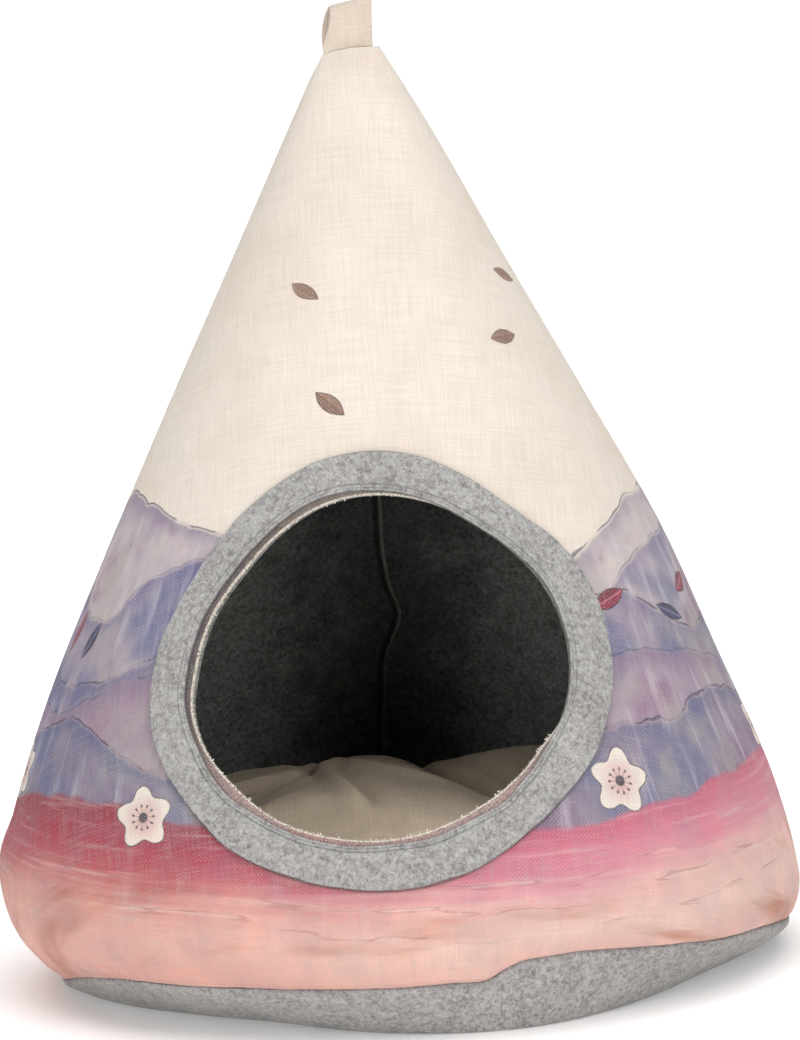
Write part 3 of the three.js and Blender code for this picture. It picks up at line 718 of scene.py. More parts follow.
def printedLinen():  # linen-look cloth, plain woven of slubby yarn and printed: matt, its threads showing
    look = coverLook
    material, add = startMaterial("printed_linen")
    flat = add("UVMap", {"uv_map": "flatCut"})
    place = add("UVMap", {"uv_map": "printPlace"})
    across = add("SeparateXYZ", {}, [place], "X")
    down = across.node.outputs["Y"]
    turn = add("Math", "MULTIPLY", [across, 2 * math.pi])
    swing = add("Math", "COSINE", [add("Math", "SUBTRACT", [turn, math.radians(look["deepest"])])])
    solid = add("TexCoord", out="Object")
    upright = add("VectorMath", "MULTIPLY", [place, (110.0, 6.0, 0.0)])
    level = add("VectorMath", "MULTIPLY", [place, (16.0, 110.0, 0.0)])
    slanting = add("Mapping", {}, {"Vector": flat, "Rotation": (0, 0, 0.5), "Scale": (10, 42, 1)})
    paint = {"tide": add("Math", "MULTIPLY_ADD", [swing, 0.5, 0.5])}
    for title, vector, scale, detail, rough in (
            ("wobble", solid, 1 / (45 * mm), 3.0, 0.5), ("blotch", solid, 1 / (20 * mm), 5.0, 0.62),
            ("pool", solid, 1 / (38 * mm), 2.0, 0.5), ("strokes", upright, 1.0, 3.0, 0.55),
            ("sweep", level, 1.0, 4.0, 0.6), ("slant", slanting, 1.0, 3.0, 0.5)):
        paint[title] = add("TexNoise", {}, {
            "Vector": vector, "Scale": scale, "Detail": detail, "Roughness": rough})
    uneven = add("MapRange", smooth, [paint["pool"], 0.4, 0.7, 0.0, 1.0])
    colour = add("Mix", blend, [uneven, linear(look["bare"]), linear(look["bareShade"])])
    colour = paintHills(add, colour, turn, down, paint)
    colour = paintBands(add, colour, turn, down, paint)
    for ring in look["motifs"]:
        colour = paintMotifs(add, colour, across, down, paint, ring)
    colour = paintStrip(add, colour, down, solid)
    edgeTurn = math.pi * wall["coneSine"]  # the flat cut's two straight edges meet in the seam at the back
    square = (-math.cos(edgeTurn), math.sin(edgeTurn), 0)
    halves = add("VectorMath", "ABSOLUTE", [flat])
    fromSeam = add("VectorMath", "DOT_PRODUCT", [halves, square], "Value")
    near, far = look["seam"]["line"]
    # painted shade along the back seam's groove
    seamLine = add("MapRange", smooth, [fromSeam, near * mm, far * mm, look["seam"]["dark"], 0.0])
    colour = add("Mix", blend, [seamLine, colour, linear(look["paintedShade"])])
    height, slub, over = weave(add, flat, look["threadSpacing"])
    thin = add("MapRange", {}, [slub, 1.05, 1.35, 0.0, 0.12])
    weft = add("Math", times, [add("MapRange", smooth, [over, -0.6, 0.3, look["weftPaler"], 0.0]),
                               add("MapRange", smooth, [slub, 0.8, 1.2, 0.35, 1.3])])
    for unprinted in (thin, weft):  # thick slubs, and the weft where it lies on top, take up less ink
        colour = add("Mix", blend, [unprinted, colour, linear(look["bare"])])
    dip = add("MapRange", smooth, [fromSeam, 0.0, look["seam"]["dip"] * mm, 0.0, 1.0])
    drawn = add("Bump", {}, {"Strength": look["seam"]["strength"], "Distance": look["seam"]["depth"] * mm,
                             "Height": dip})
    return finishMaterial(material, add, {
        "Base Color": paintedWeaveShadeAndSlubs(add, colour, height, slub, 0.16, 0.07),
        "Normal": weaveBump(add, height, slub, {"Normal": drawn}),
        "Roughness": 0.9, "IOR": 1.5, "Specular IOR Level": 0.25,
        "Sheen Weight": 0.06, "Sheen Roughness": 0.5,
    })


feltLook = {
    # flecks, tufts, clouds and fibres: size in mm, detail, roughness, twist, weight
    "grain": [
        (2.1, 3.0, 0.7, 0.6, 0.8), (4.4, 3.0, 0.6, 1.2, 0.5), (18, 3.0, 0.5, 0.0, 0.2),
        (3.2, 2.0, 0.5, 5.0, 0.5),
    ],
    "tonesAt": (0.30, 0.50, 0.70),
    "relief": 0.4,
    "seamHighlightTone": "#A9A7A1",  # painted highlight on the lining's cut edges, which stand up in its seam
}


def feltMaterial(name, tones, edgeMap=None, seamMap=None):  # pressed wool felt: flecked, matt and hairy
    look = feltLook
    material, add = startMaterial(name)
    solid = add("TexCoord", out="Object")
    grain, noises = -0.5, []  # the start brings the sum's middle to a half
    for size, detail, rough, twist, weight in look["grain"]:
        noises.append(add("TexNoise", {}, {"Vector": solid, "Scale": 1 / (size * mm), "Detail": detail,
                                           "Roughness": rough, "Distortion": twist}))
        grain = add("Math", "MULTIPLY_ADD", [noises[-1], weight, grain])
    colour = add("ValToRGB", {}, [grain])
    fillRamp(colour, zip(look["tonesAt"], tones))
    if edgeMap:  # darker towards its cut edges: painted shade where the felt meets the cloth, and a cut edge a little darker than the pressed face
        away = add("SeparateXYZ", {}, [add("UVMap", {"uv_map": edgeMap})], "X")
        shade = add("MapRange", smooth, [away, 0.1 * mm, 0.9 * mm, 0.6, 1.0])
        colour = add("VectorMath", "SCALE", [colour, shade])
    if seamMap:  # darker towards its back seam as painted shade, where the entrance lets in least light, and in the groove beside it; a painted highlight on the seam's raw edge, which stands up beside the groove, fainter lower down
        away = add("SeparateXYZ", {}, [add("UVMap", {"uv_map": seamMap})], "X")
        down = away.node.outputs["Y"]
        off = add("Math", "ABSOLUTE", [away])
        fromGroove = add("Math", "ABSOLUTE", [add("Math", "ADD", [away, 2.2 * mm])])
        cloudy = add("Math", "MULTIPLY_ADD", [noises[2], 60 * mm, off])
        shade = add("Math", times, [add("MapRange", smooth, [cloudy, 40 * mm, 105 * mm, 0.4, 1.0]),
                                    add("MapRange", smooth, [fromGroove, 0.6 * mm, 2.2 * mm, 0.3, 1.0])])
        seamHighlight = add("Math", times, [add("MapRange", smooth, [off, 0.5 * mm, 1.1 * mm, 0.7, 0.0]),
                                       add("MapRange", smooth, [down, 0.64, 0.74, 1.0, 0.3])])
        colour = add("VectorMath", "SCALE", [colour, shade])
        colour = add("Mix", blend, [seamHighlight, colour, linear(look["seamHighlightTone"])])
    bump = add("Bump", {}, {"Strength": 0.45, "Distance": look["relief"] * mm, "Height": grain})
    return finishMaterial(material, add, {
        "Base Color": colour, "Normal": bump, "Roughness": 0.96, "IOR": 1.5, "Specular IOR Level": 0.15,
        "Sheen Weight": 0.12, "Sheen Roughness": 0.7,
    })


def plainLinen(name, tone, spacing, uvMap=None):  # undyed linen, plain woven: pale brown, slubby and matt
    material, add = startMaterial(name)
    solid = add("TexCoord", out="Object")
    place = add("UVMap", {"uv_map": uvMap}) if uvMap else solid
    cloud = add("TexNoise", {}, {"Vector": solid, "Scale": 1 / (14 * mm), "Detail": 3.0})
    light = linear(tone)
    dark = (*[part * 0.86 for part in light[:3]], 1.0)
    colour = add("Mix", blend, [add("MapRange", {}, [cloud, 0.35, 0.65, 0.0, 0.6]), light, dark])
    height, slub = weave(add, place, spacing)[:2]
    return finishMaterial(material, add, {
        "Base Color": paintedWeaveShadeAndSlubs(add, colour, height, slub, 0.10, 0.07), "Normal": weaveBump(add, height, slub),
        "Roughness": 0.92, "IOR": 1.5, "Specular IOR Level": 0.2,
        "Sheen Weight": 0.08, "Sheen Roughness": 0.5,
    })


def threadMaterial(name, tones):  # spun yarn: soft, matt, its twist too fine to draw
    material, add = startMaterial(name)
    solid = add("TexCoord", out="Object")
    spin = add("TexNoise", {}, {"Vector": solid, "Scale": 1 / (1.5 * mm), "Detail": 2.0})
    amount = add("MapRange", {}, [spin, 0.35, 0.65, 0.0, 1.0])
    return finishMaterial(material, add, {
        "Base Color": add("Mix", blend, [amount, linear(tones[0]), linear(tones[1])]),
        "Roughness": 0.85, "IOR": 1.5, "Specular IOR Level": 0.25,
        "Sheen Weight": 0.2, "Sheen Roughness": 0.5,
    })


coverCloth = printedLinen()
greyFelt = feltMaterial("grey_wool_felt", ("#757371", "#9E9C9A", "#B9B7B4"), "feltEdge")
liningFelt = feltMaterial("lining_wool_felt", ("#575855", "#858683", "#A8A9A6"), seamMap="backSeam")
cushionCloth = plainLinen("cushion_linen", "#E3CFB6", 1.2 * mm)
tapeCloth = plainLinen("tape_linen", "#D9CABB", 1.1 * mm, "tapeCut")
feltThread = threadMaterial("grey_cotton_thread", ("#7C7E7E", "#9A9C9B"))
linenThread = threadMaterial("raw_linen_thread", ("#E8DDCC", "#F6EFE2"))
seamThread = threadMaterial("seam_cotton_thread", ("#84837E", "#A3A19A"))
print("materials:", len(bpy.data.materials))

# Cover
cover = coneSheet("cover", 0, 0, coverLook["thick"], coverCloth)

# Lining
liningLook = {
    "top": 36, "gap": 0.5, "thick": 3, "recess": 0.9,
    "seamRidge": 2.0, "seamHalf": 1.5, "seamDip": 1.6, "dipAside": 3.9, "dipHalf": 3.0, "seamFrom": (40, 70),
}


def seamRidge(azimuth, down):  # the felt's two edges stand up where they meet at the back, beside a dip
    look = liningLook
    away = seamAway(azimuth, down)
    ridge = look["seamRidge"] * bell(away, look["seamHalf"])
    ridge = ridge - look["seamDip"] * bell(away + look["dipAside"], look["dipHalf"])
    return ridge * smoothstep(down, *look["seamFrom"])


lining = coneSheet("lining", liningLook["top"], -coverLook["thick"] - liningLook["gap"], liningLook["thick"],
                   liningFelt, liningLook["recess"], seamRidge)

# Entrance band
bandLook = {
    "clearance": 0.3,
    "thick": 2.5,
    "lipRounding": 0.9,
    "rounding": 0.9,
    "roundSteps": 5,
    "puff": 0.5,  # the felt swells a little between its two edges
    # grooves along the inner lip: distance from the edge, depth, half width
    "grooves": [(1.4, 0.55, 0.3), (3.1, 0.75, 0.38)],
    "stitchAt": 3.1,
    "lipPress": {"depth": 0.35, "from": 2, "to": 6},  # pressed down along the sewn lip
    # rows of points along the lip, then across the face: distance from the inner edge
    "lipRows": (1.05, 1.2, 1.4, 1.6, 1.75, 2.1, 2.5, 2.75, 2.95, 3.1, 3.25, 3.45, 3.8, 4.4, 5.4),
    "faceRows": 13,
    "underRows": (0.75, 0.5, 0.25),
    "setBack": {"inner": 0.3, "outer": 0.25},  # the under side is a little narrower
    # unevenness of the cut edges: waves round the band, phase, size
    "uneven": [(11, 0.4, 0.22), (17, 2.0, 0.18), (29, 4.4, 0.12)],
    "innerUneven": 0.6,  # the inner edge's share of it
    "steps": 480,
}


def bandPlace(angle, reach):  # azimuth and down at a distance from the entrance's middle
    centre = np.array([entrance["aside"], wall["topReach"] + entrance["down"]])
    return fromFlat(centre + np.stack([np.sin(angle), -np.cos(angle)], -1) * reach[..., None])


def bandHeight(along, wide):  # the felt's upper face over the cover, at a distance from its inner edge
    look = bandLook
    share = np.clip(along / wide, 0, 1)
    height = look["clearance"] + look["thick"] + look["puff"] * (1 - (2 * share - 1) ** 4)
    press = look["lipPress"]
    height -= press["depth"] * (1 - smoothstep(along, press["from"], press["to"]))
    for at, depth, half in look["grooves"]:
        height -= depth * bell(along - at, half)
    return height


def bandPiece():
    look = bandLook
    angle = np.linspace(0, 2 * math.pi, look["steps"], endpoint=False)
    inner, outer = lipReaches(angle)[1], bandReach(angle, "outer")
    wander = sum(size * np.sin(turns * angle + phase) for turns, phase, size in look["uneven"])
    inner, outer = inner + look["innerUneven"] * wander, outer - wander
    wide = outer - inner
    turns = np.linspace(0, math.pi / 2, look["roundSteps"] + 1)
    lip, r, low, back = look["lipRounding"], look["rounding"], look["clearance"], look["setBack"]
    even = np.zeros_like(wide)  # carries a single value to every step round the band
    lipTop, outerTop = bandHeight(lip + even, wide), bandHeight(wide - r, wide)
    # a row's distance from the inner edge, its height over the cover and its distance to an edge
    rows = [(back["inner"] + even, low + even, even)]
    for turn in turns:
        along = lip - lip * math.cos(turn) + even
        rows.append((along, lipTop - lip + lip * math.sin(turn), lip * turn + even))
    for along in look["lipRows"]:
        rows.append((along + even, bandHeight(along + even, wide), along + even))
    lastLip = look["lipRows"][-1]
    for share in np.linspace(0, 1, look["faceRows"] + 1)[1:-1]:
        along = lastLip + (wide - r - lastLip) * share
        rows.append((along, bandHeight(along, wide), np.minimum(along, wide - along)))
    for turn in turns:
        toEdge = r * (1 - turn * 2 / math.pi) + even
        rows.append((wide - r + r * math.sin(turn), outerTop - r + r * math.cos(turn), toEdge))
    rows.append((wide - back["outer"], low + even, even))
    rows += [(wide * share, low + even, even) for share in look["underRows"]]
    points, edge = [], []
    for along, height, toEdge in rows:
        azimuth, down = bandPlace(angle, inner + along)
        points.append(wallLayer(azimuth, down, height))
        edge.append(np.stack([toEdge * mm, 0 * toEdge], -1))
    faces = gridFaces(len(rows), len(angle), True, closedRows=True)
    uvMaps = {"feltEdge": np.array(edge).reshape(-1, 2)}
    return makePiece("entrance_band", np.array(points).reshape(-1, 3), faces, uvMaps, greyFelt)


band = bandPiece()

# Base
baseLook = {
    "thick": 3,
    "floor": {"left": 159, "right": 163, "front": 114.5, "back": 150},
    "bulge": {"at": 15.4, "rise": 53.5, "spread": 36.4},
    "seamGap": 0.9,
    "roundness": 0.25,
    "around": 400,
    "rise": 26,
    "patchRings": (0.86, 0.62, 0.34),
    "lumps": [(4, 0.7, 0.5), (7, 2.2, 0.45), (13, 4.0, 0.3)],
    "rimRoll": {"from": 0.9, "depth": 1.3},
}


def basePiece():
    look = baseLook
    azimuth = np.linspace(-math.pi, math.pi, look["around"], endpoint=False)
    across, ahead = np.sin(azimuth), np.cos(azimuth)
    floor, bulge, roll = look["floor"], look["bulge"], look["rimRoll"]
    side = np.where(across > 0, floor["right"], floor["left"])
    end = np.where(ahead > 0, floor["front"], floor["back"])
    reach = 1 / np.hypot(across / side, ahead / end)
    reach = reach + bulge["rise"] * bell(np.degrees(azimuth) - bulge["at"], bulge["spread"])
    patch = np.stack([reach * across, -reach * ahead, np.zeros_like(across)], -1)
    down = np.full_like(azimuth, float(foot))
    point, normal, along = wallFrame(azimuth, down)
    point = point + normal * relief(azimuth, down)[:, None]
    rim = point + along * look["seamGap"]
    pull = look["roundness"] * np.linalg.norm(rim - patch, axis=-1, keepdims=True)
    outward = np.stack([across, -ahead, np.zeros_like(across)], -1)
    rimPull = rim + along * pull
    rimPull[:, 2] = np.maximum(rimPull[:, 2], 0)
    knots = [patch, patch + outward * pull, rimPull, rim]
    around = np.stack([ahead, across, np.zeros_like(across)], -1)
    outer, inner = [], []
    for t in np.linspace(0, 1, look["rise"] + 1):
        weights = [(1 - t) ** 3, 3 * t * (1 - t) ** 2, 3 * t * t * (1 - t), t ** 3]
        place = sum(w * k for w, k in zip(weights, knots))
        slope = [(1 - t) ** 2, 2 * t * (1 - t), t * t]
        tangent = sum(w * (b - a) for w, a, b in zip(slope, knots, knots[1:]))
        inward = np.cross(tangent, around)
        inward /= np.linalg.norm(inward, axis=-1, keepdims=True)
        lump = sum(size * np.sin(turns * azimuth + phase + 2 * t) for turns, phase, size in look["lumps"])
        lump = lump * math.sin(math.pi * t) + footPuckers(azimuth) * t ** 6
        sunk = roll["depth"] * max(0, (t - roll["from"]) / (1 - roll["from"])) ** 2
        place = place + inward * (sunk - lump)[:, None]
        place[:, 2] = np.maximum(place[:, 2], 0)
        outer.append(place)
        inner.append(place + inward * look["thick"])
    for share in look["patchRings"]:
        outer.insert(0, patch * share)
        inner.insert(0, patch * share + (0, 0, look["thick"]))
    rows, cols = len(outer), len(azimuth)
    points = np.array(outer + inner[::-1])
    toRim = np.linalg.norm(points - rim, axis=-1).reshape(-1)
    toRim = np.append(toRim, (150, 150))  # the two middle points are far from the rim
    edge = np.stack([toRim * mm, np.zeros_like(toRim)], -1)
    points = np.vstack([points.reshape(-1, 3), (0, 0, 0), (0, 0, look["thick"])])
    faces = domedFaces(2 * rows, cols)
    return makePiece("base", points, faces, {"feltEdge": edge}, greyFelt, sharp=60)


base = basePiece()

# Cushion
cushionLook = {
    "reach": 158, "edgeHeight": 36, "crown": 48, "floorShare": 0.74, "puff": 3.2, "floor": 3.4,
    "around": 180, "rings": 60,
    # lumps and hollows of the loose filling: x, y, half length, half width, turn, rise
    "lumps": [
        (-20, 62, 62, 30, 86, 5), (84, 74, 66, 38, 76, 13), (-88, 72, 50, 40, 60, 8),
        (33, 24, 92, 13, -74, -11), (-70, 18, 26, 12, 24, -9), (-36, -66, 74, 44, 84, 6),
    ],
    "voxel": 4.5 * mm, "frames": 20, "cap": 9 * mm, "creaseRise": 24,
    "cloth": {
        "quality": 6, "mass": 0.2, "tension_stiffness": 10, "compression_stiffness": 10, "shear_stiffness": 4,
        "bending_stiffness": 0.3, "use_pressure": True, "uniform_pressure_force": 3.0, "shrink_min": -0.05,
        "vertex_group_mass": "resting",
    },
    # creases of the slack case: x, y, half length, half width, turn, rise
    "creases": [
        (33, 22, 78, 4.2, -74, -6.5), (41, 23, 78, 5.0, -74, 2.6), (-15, -40, 78, 5.5, -78, -4.4),
        (-52, 25, 42, 4.0, 70, -4.5), (-44, 23, 42, 6.0, 70, 2.2),
        (-24, -40, 78, 6.0, -78, 3.2), (12, 16, 50, 5.0, -50, -4.2), (4, 10, 50, 6.5, -50, 3.0),
        (-72, 34, 26, 4.0, 20, 2.6), (-68, 20, 24, 4.5, 22, -3.2), (-46, 40, 60, 5.0, 98, -2.4),
        (66, 10, 44, 5.0, 64, -1.8), (76, 6, 44, 5.0, 64, 1.6), (-70, -60, 44, 6.0, 52, 1.8),
        (60, -64, 44, 6.0, 130, 1.8), (10, 112, 40, 6.0, 100, -2.0), (-60, 108, 40, 6.0, 60, 1.8),
        (122, 16, 34, 6.0, 80, -2.2), (-130, -10, 34, 6.0, 100, -2.2), (0, -120, 60, 6.0, 4, -1.8),
    ],
}


def bumps(x, y, table):
    rise = np.zeros_like(x)
    for atX, atY, halfLength, halfWidth, turn, lift in table:
        turn = math.radians(turn)
        along = (x - atX) * math.cos(turn) + (y - atY) * math.sin(turn)
        across = (y - atY) * math.cos(turn) - (x - atX) * math.sin(turn)
        rise += lift * bell(along, halfLength) * bell(across, halfWidth)
    return rise


def cushionStart():  # the filled form before the case settles round it
    look = cushionLook
    azimuth = np.linspace(0, 2 * math.pi, look["around"], endpoint=False)
    shares = np.sin(np.linspace(0, math.pi / 2, look["rings"] + 1))[1:]
    under, top = [], []
    for share in shares:
        x, y = look["reach"] * share * np.sin(azimuth), -look["reach"] * share * np.cos(azimuth)
        past = max(share - look["floorShare"], 0) / (1 - look["floorShare"])
        lift = (look["edgeHeight"] - look["floor"]) * (1 - math.sqrt(max(1 - past * past, 0)))
        dome = math.sqrt(max(1 - share ** look["puff"], 0)) * (look["crown"] + bumps(x, y, look["lumps"]))
        under.append(np.stack([x, y, np.full_like(x, look["floor"] + lift)], -1))
        top.append(np.stack([x, y, look["edgeHeight"] + dome], -1))
    rows = under + top[-2::-1]
    middle = float(bumps(np.zeros(1), np.zeros(1), look["lumps"])[0])
    points = np.vstack([np.array(rows).reshape(-1, 3), (0, 0, look["floor"]),
                        (0, 0, look["edgeHeight"] + look["crown"] + middle)])
    return makePiece("cushion", points, domedFaces(len(rows), len(azimuth)), {}, cushionCloth)


def keepEvaluated(piece):  # the piece's modifiers become its plain mesh
    bpy.context.view_layer.update()
    mesh = bpy.data.meshes.new_from_object(piece.evaluated_get(bpy.context.evaluated_depsgraph_get()))
    piece.modifiers.clear()
    piece.data = mesh
    mesh.name = piece.name
    return mesh


def meshPoints(mesh):
    points = np.zeros(3 * len(mesh.vertices), np.float32)
    mesh.vertices.foreach_get("co", points)
    return points.reshape(-1, 3).astype(float)


def settleCushion(piece):  # the case swells under a little pressure, then its creases are drawn in
    look = cushionLook
    remesh = piece.modifiers.new("grid", "REMESH")
    remesh.mode = "VOXEL"
    remesh.voxel_size = look["voxel"]
    mesh = keepEvaluated(piece)
    start = meshPoints(mesh)
    resting = piece.vertex_groups.new(name="resting")
    for index in np.flatnonzero(start[:, 2] < look["floor"] * mm + look["voxel"]):
        resting.add([int(index)], 1.0, "REPLACE")
    cloth = piece.modifiers.new("case", "CLOTH")
    for setting, value in look["cloth"].items():
        setattr(cloth.settings, setting, value)
    cloth.settings.effector_weights.gravity = 0
    cloth.collision_settings.use_collision = False
    cloth.point_cache.frame_end = look["frames"]
    for step in range(1, look["frames"] + 1):
        scene.frame_set(step)
    settled = keepEvaluated(piece)
    scene.frame_set(1)
    moved = meshPoints(settled) - start
    size = np.linalg.norm(moved, axis=-1, keepdims=True)
    start = start + moved * np.minimum(1, look["cap"] / np.maximum(size, 1e-9))
    print(f"cushion settled: moved up to {float(size.max()) * 1000:.1f} mm before the cap")
    piece.vertex_groups.clear()
    piece.data.vertices.foreach_set("co", start.astype(np.float32).ravel())
    finer = piece.modifiers.new("finer", "SUBSURF")
    finer.levels = finer.render_levels = 1
    mesh = keepEvaluated(piece)
    points = meshPoints(mesh)
    upper = smoothstep(points[:, 2] / mm, look["edgeHeight"], look["edgeHeight"] + look["creaseRise"])
    points[:, 2] += bumps(points[:, 0] / mm, points[:, 1] / mm, look["creases"]) * upper * mm
    points[:, 2] = np.maximum(points[:, 2], look["floor"] * mm)
    mesh.vertices.foreach_set("co", points.astype(np.float32).ravel())
    mesh.shade_smooth()
    mesh.update()
    print(f"cushion: {len(mesh.polygons)} faces")
    return piece


cushion = settleCushion(cushionStart())

# Tape loop
loopLook = {
    "thick": 1.3,
    # along the tape: y, z, left edge, right edge
    "path": [
        (0, -1.0, 452, -10.4, 9.8), (10, -1.2, 462, -13.0, 10.2), (22, -4.6, 474, -9.8, 10.6),
        (31, -3.8, 482.2, -8.6, 11.0), (36, 0, 484.6, -8.8, 11.2), (41, 3.8, 482.2, -10.8, 11.0),
        (50, 5.0, 474, -13.0, 10.4), (62, 1.2, 462, -13.2, 10.0), (72, 1.0, 452, -10.4, 9.8),
    ],
    "skew": 0.19,
    "steps": 64,
    "across": 14,
    "edgeSteps": 6,
}


def loopPiece():
    look = loopLook
    along = np.linspace(0, look["path"][-1][0], look["steps"] + 1)
    y, z, left, right = np.moveaxis(tableAt(look["path"], along), -1, 0)
    slopeY, slopeZ = np.gradient(y), np.gradient(z)
    size = np.hypot(slopeY, slopeZ)
    sideY, sideZ = -slopeZ / size, slopeY / size  # the loop's outer side
    half = look["thick"] / 2
    turns = np.linspace(0, math.pi, look["edgeSteps"] + 1)[1:-1]
    section = []  # share across, side of the tape, and how far its rounded edge stands out
    for way in (1.0, -1.0):
        section += [(way * (2 * s - 1), way, 0.0) for s in np.linspace(0, 1, look["across"] + 1)]
        section += [(way, way * math.cos(t), way * half * math.sin(t)) for t in turns]
    tip, top = look["path"][1][2], look["path"][4][2]  # heights where it leaves the cone and where it turns
    points, cut = [], []
    for share, out, extra in section:
        x = (left + right) / 2 + share * (right - left) / 2 + extra
        offset = half * out
        lean = look["skew"] * x * smoothstep(z, tip, top)
        points.append(np.stack([x, y + sideY * offset, z + sideZ * offset + lean], -1))
        cut.append(np.stack([x * mm, along * mm], -1))
    points = np.array(points).transpose(1, 0, 2)
    cut = np.array(cut).transpose(1, 0, 2)
    rows, cols = points.shape[:2]
    faces = gridFaces(rows, cols, True).tolist()
    faces += [tuple(range(cols))[::-1], tuple(range((rows - 1) * cols, rows * cols))]
    return makePiece("loop", points.reshape(-1, 3), faces, {"tapeCut": cut.reshape(-1, 2)}, tapeCloth)


loop = loopPiece()


# Threads by Geometry Nodes: a path of points with the way each thread leans
def threadPath(name, points, leans, closed):
    mesh = bpy.data.meshes.new(name)
    count = len(points)
    edges = [(i, (i + 1) % count) for i in range(count if closed else count - 1)]
    mesh.from_pydata((points * mm).tolist(), edges, [])
    lean = mesh.attributes.new("lean", "FLOAT_VECTOR", "POINT")
    lean.data.foreach_set("vector", np.asarray(leans, np.float32).ravel())
    piece = bpy.data.objects.new(name, mesh)
    scene.collection.objects.link(piece)
    return piece


def startTree(name, *sizes):  # named inputs: the path, its thread's sizes, a seed and the material
    tree = bpy.data.node_groups.new(name, "GeometryNodeTree")
    inputs = [("Geometry", "Geometry"), *[(size, "Float") for size in sizes], ("Seed", "Int")]
    for title, kind in (*inputs, ("Thread", "Material")):
        tree.interface.new_socket(title, in_out="INPUT", socket_type="NodeSocket" + kind)
    tree.interface.new_socket("Geometry", in_out="OUTPUT", socket_type="NodeSocketGeometry")
    add = partial(addNode, tree)
    return tree, add, add("NodeGroupInput").node.outputs


def endTree(tree, add, instances, material):  # realized, with its material, as the export needs
    real = add("GeometryNodeRealizeInstances", {}, [instances])
    dressed = add("GeometryNodeSetMaterial", {}, {"Geometry": real, "Material": material})
    add("NodeGroupOutput", {}, [dressed])
    return tree


def stitchTree():  # stitches laid end to end along a path
    tree, add, start = startTree(
        "sewn_stitches", "Stitch Length", "Stitch Gap", "Thread Radius", "Unevenness")
    path = add("GeometryNodeMeshToCurve", {}, [start["Geometry"]])
    pitch = add("Math", "ADD", [start["Stitch Length"], start["Stitch Gap"]])
    places = add("GeometryNodeResampleCurve", {"mode": "LENGTH"}, {"Curve": path, "Length": pitch})
    tangent = add("GeometryNodeInputTangent")
    facing = add("FunctionNodeAlignRotationToVector", {"axis": "X"}, {"Vector": tangent})
    most = add("Math", "ADD", [start["Unevenness"], 1.0])
    least = add("Math", "SUBTRACT", [1.0, start["Unevenness"]])
    size = add("FunctionNodeRandomValue", {"data_type": "FLOAT"},
               {"Min": least, "Max": most, "Seed": start["Seed"]})
    long = add("Math", "MULTIPLY", [start["Stitch Length"], size])
    thick = add("Math", "MULTIPLY", [start["Thread Radius"], 2.0])
    scale = add("CombineXYZ", {}, [long, thick, thick])
    bead = add("GeometryNodeMeshUVSphere", {}, {"Segments": 8, "Rings": 6, "Radius": 0.5})
    sewn = add("GeometryNodeInstanceOnPoints", {},
               {"Points": places, "Instance": bead, "Rotation": facing, "Scale": scale})
    return endTree(tree, add, sewn, start["Thread"])


def frayTree():  # loose thread ends along a cut edge, leaning out of it
    tree, add, start = startTree(
        "frayed_threads", "Spacing", "Shortest", "Longest", "Slenderness", "Spread")
    path = add("GeometryNodeMeshToCurve", {}, [start["Geometry"]])
    places = add("GeometryNodeResampleCurve", {"mode": "LENGTH"}, {"Curve": path, "Length": start["Spacing"]})
    lean = add("GeometryNodeInputNamedAttribute", {"data_type": "FLOAT_VECTOR"}, {"Name": "lean"})
    facing = add("FunctionNodeAlignRotationToVector", {"axis": "Z"}, {"Vector": lean})
    least = add("Math", "MULTIPLY", [start["Spread"], -1.0])
    low = add("CombineXYZ", {}, [least, least, -math.pi])
    high = add("CombineXYZ", {}, [start["Spread"], start["Spread"], math.pi])
    tilt = add("FunctionNodeRandomValue", {"data_type": "FLOAT_VECTOR"},
               {"Min": low, "Max": high, "Seed": start["Seed"]})
    turn = add("FunctionNodeEulerToRotation", {}, [tilt])
    askew = add("FunctionNodeRotateRotation", {"rotation_space": "LOCAL"}, [facing, turn])
    otherSeed = add("Math", "ADD", [start["Seed"], 1.0])
    chance = add("FunctionNodeRandomValue", {"data_type": "FLOAT"}, {"Seed": otherSeed})
    rare = add("Math", "POWER", [chance, 5.0])  # few threads are long
    long = add("MapRange", {}, [rare, 0.0, 1.0, start["Shortest"], start["Longest"]])
    bent = add("GeometryNodeCurveQuadraticBezier", {}, {
        "Resolution": 5, "Start": (0.0, 0.0, -0.1), "Middle": (0.22, 0.05, 0.45), "End": (-0.05, 0.16, 1.0)})
    square = add("GeometryNodeCurvePrimitiveCircle", {}, {"Resolution": 4, "Radius": start["Slenderness"]})
    yarn = add("GeometryNodeCurveToMesh", {}, {"Curve": bent, "Profile Curve": square, "Fill Caps": True})
    loose = add("GeometryNodeInstanceOnPoints", {},
                {"Points": places, "Instance": yarn, "Rotation": askew, "Scale": long})
    return endTree(tree, add, loose, start["Thread"])


def growThreads(piece, tree, values):  # runs a tree on a path and keeps the plain mesh
    modifier = piece.modifiers.new("threads", "NODES")
    modifier.node_group = tree
    for item in tree.interface.items_tree:
        if item.in_out == "INPUT" and item.name in values:
            modifier[item.identifier] = values[item.name]
    mesh = keepEvaluated(piece)
    mesh.shade_smooth()
    print(f"{piece.name}: {len(mesh.polygons)} faces")
    return piece


stitches, frays = stitchTree(), frayTree()

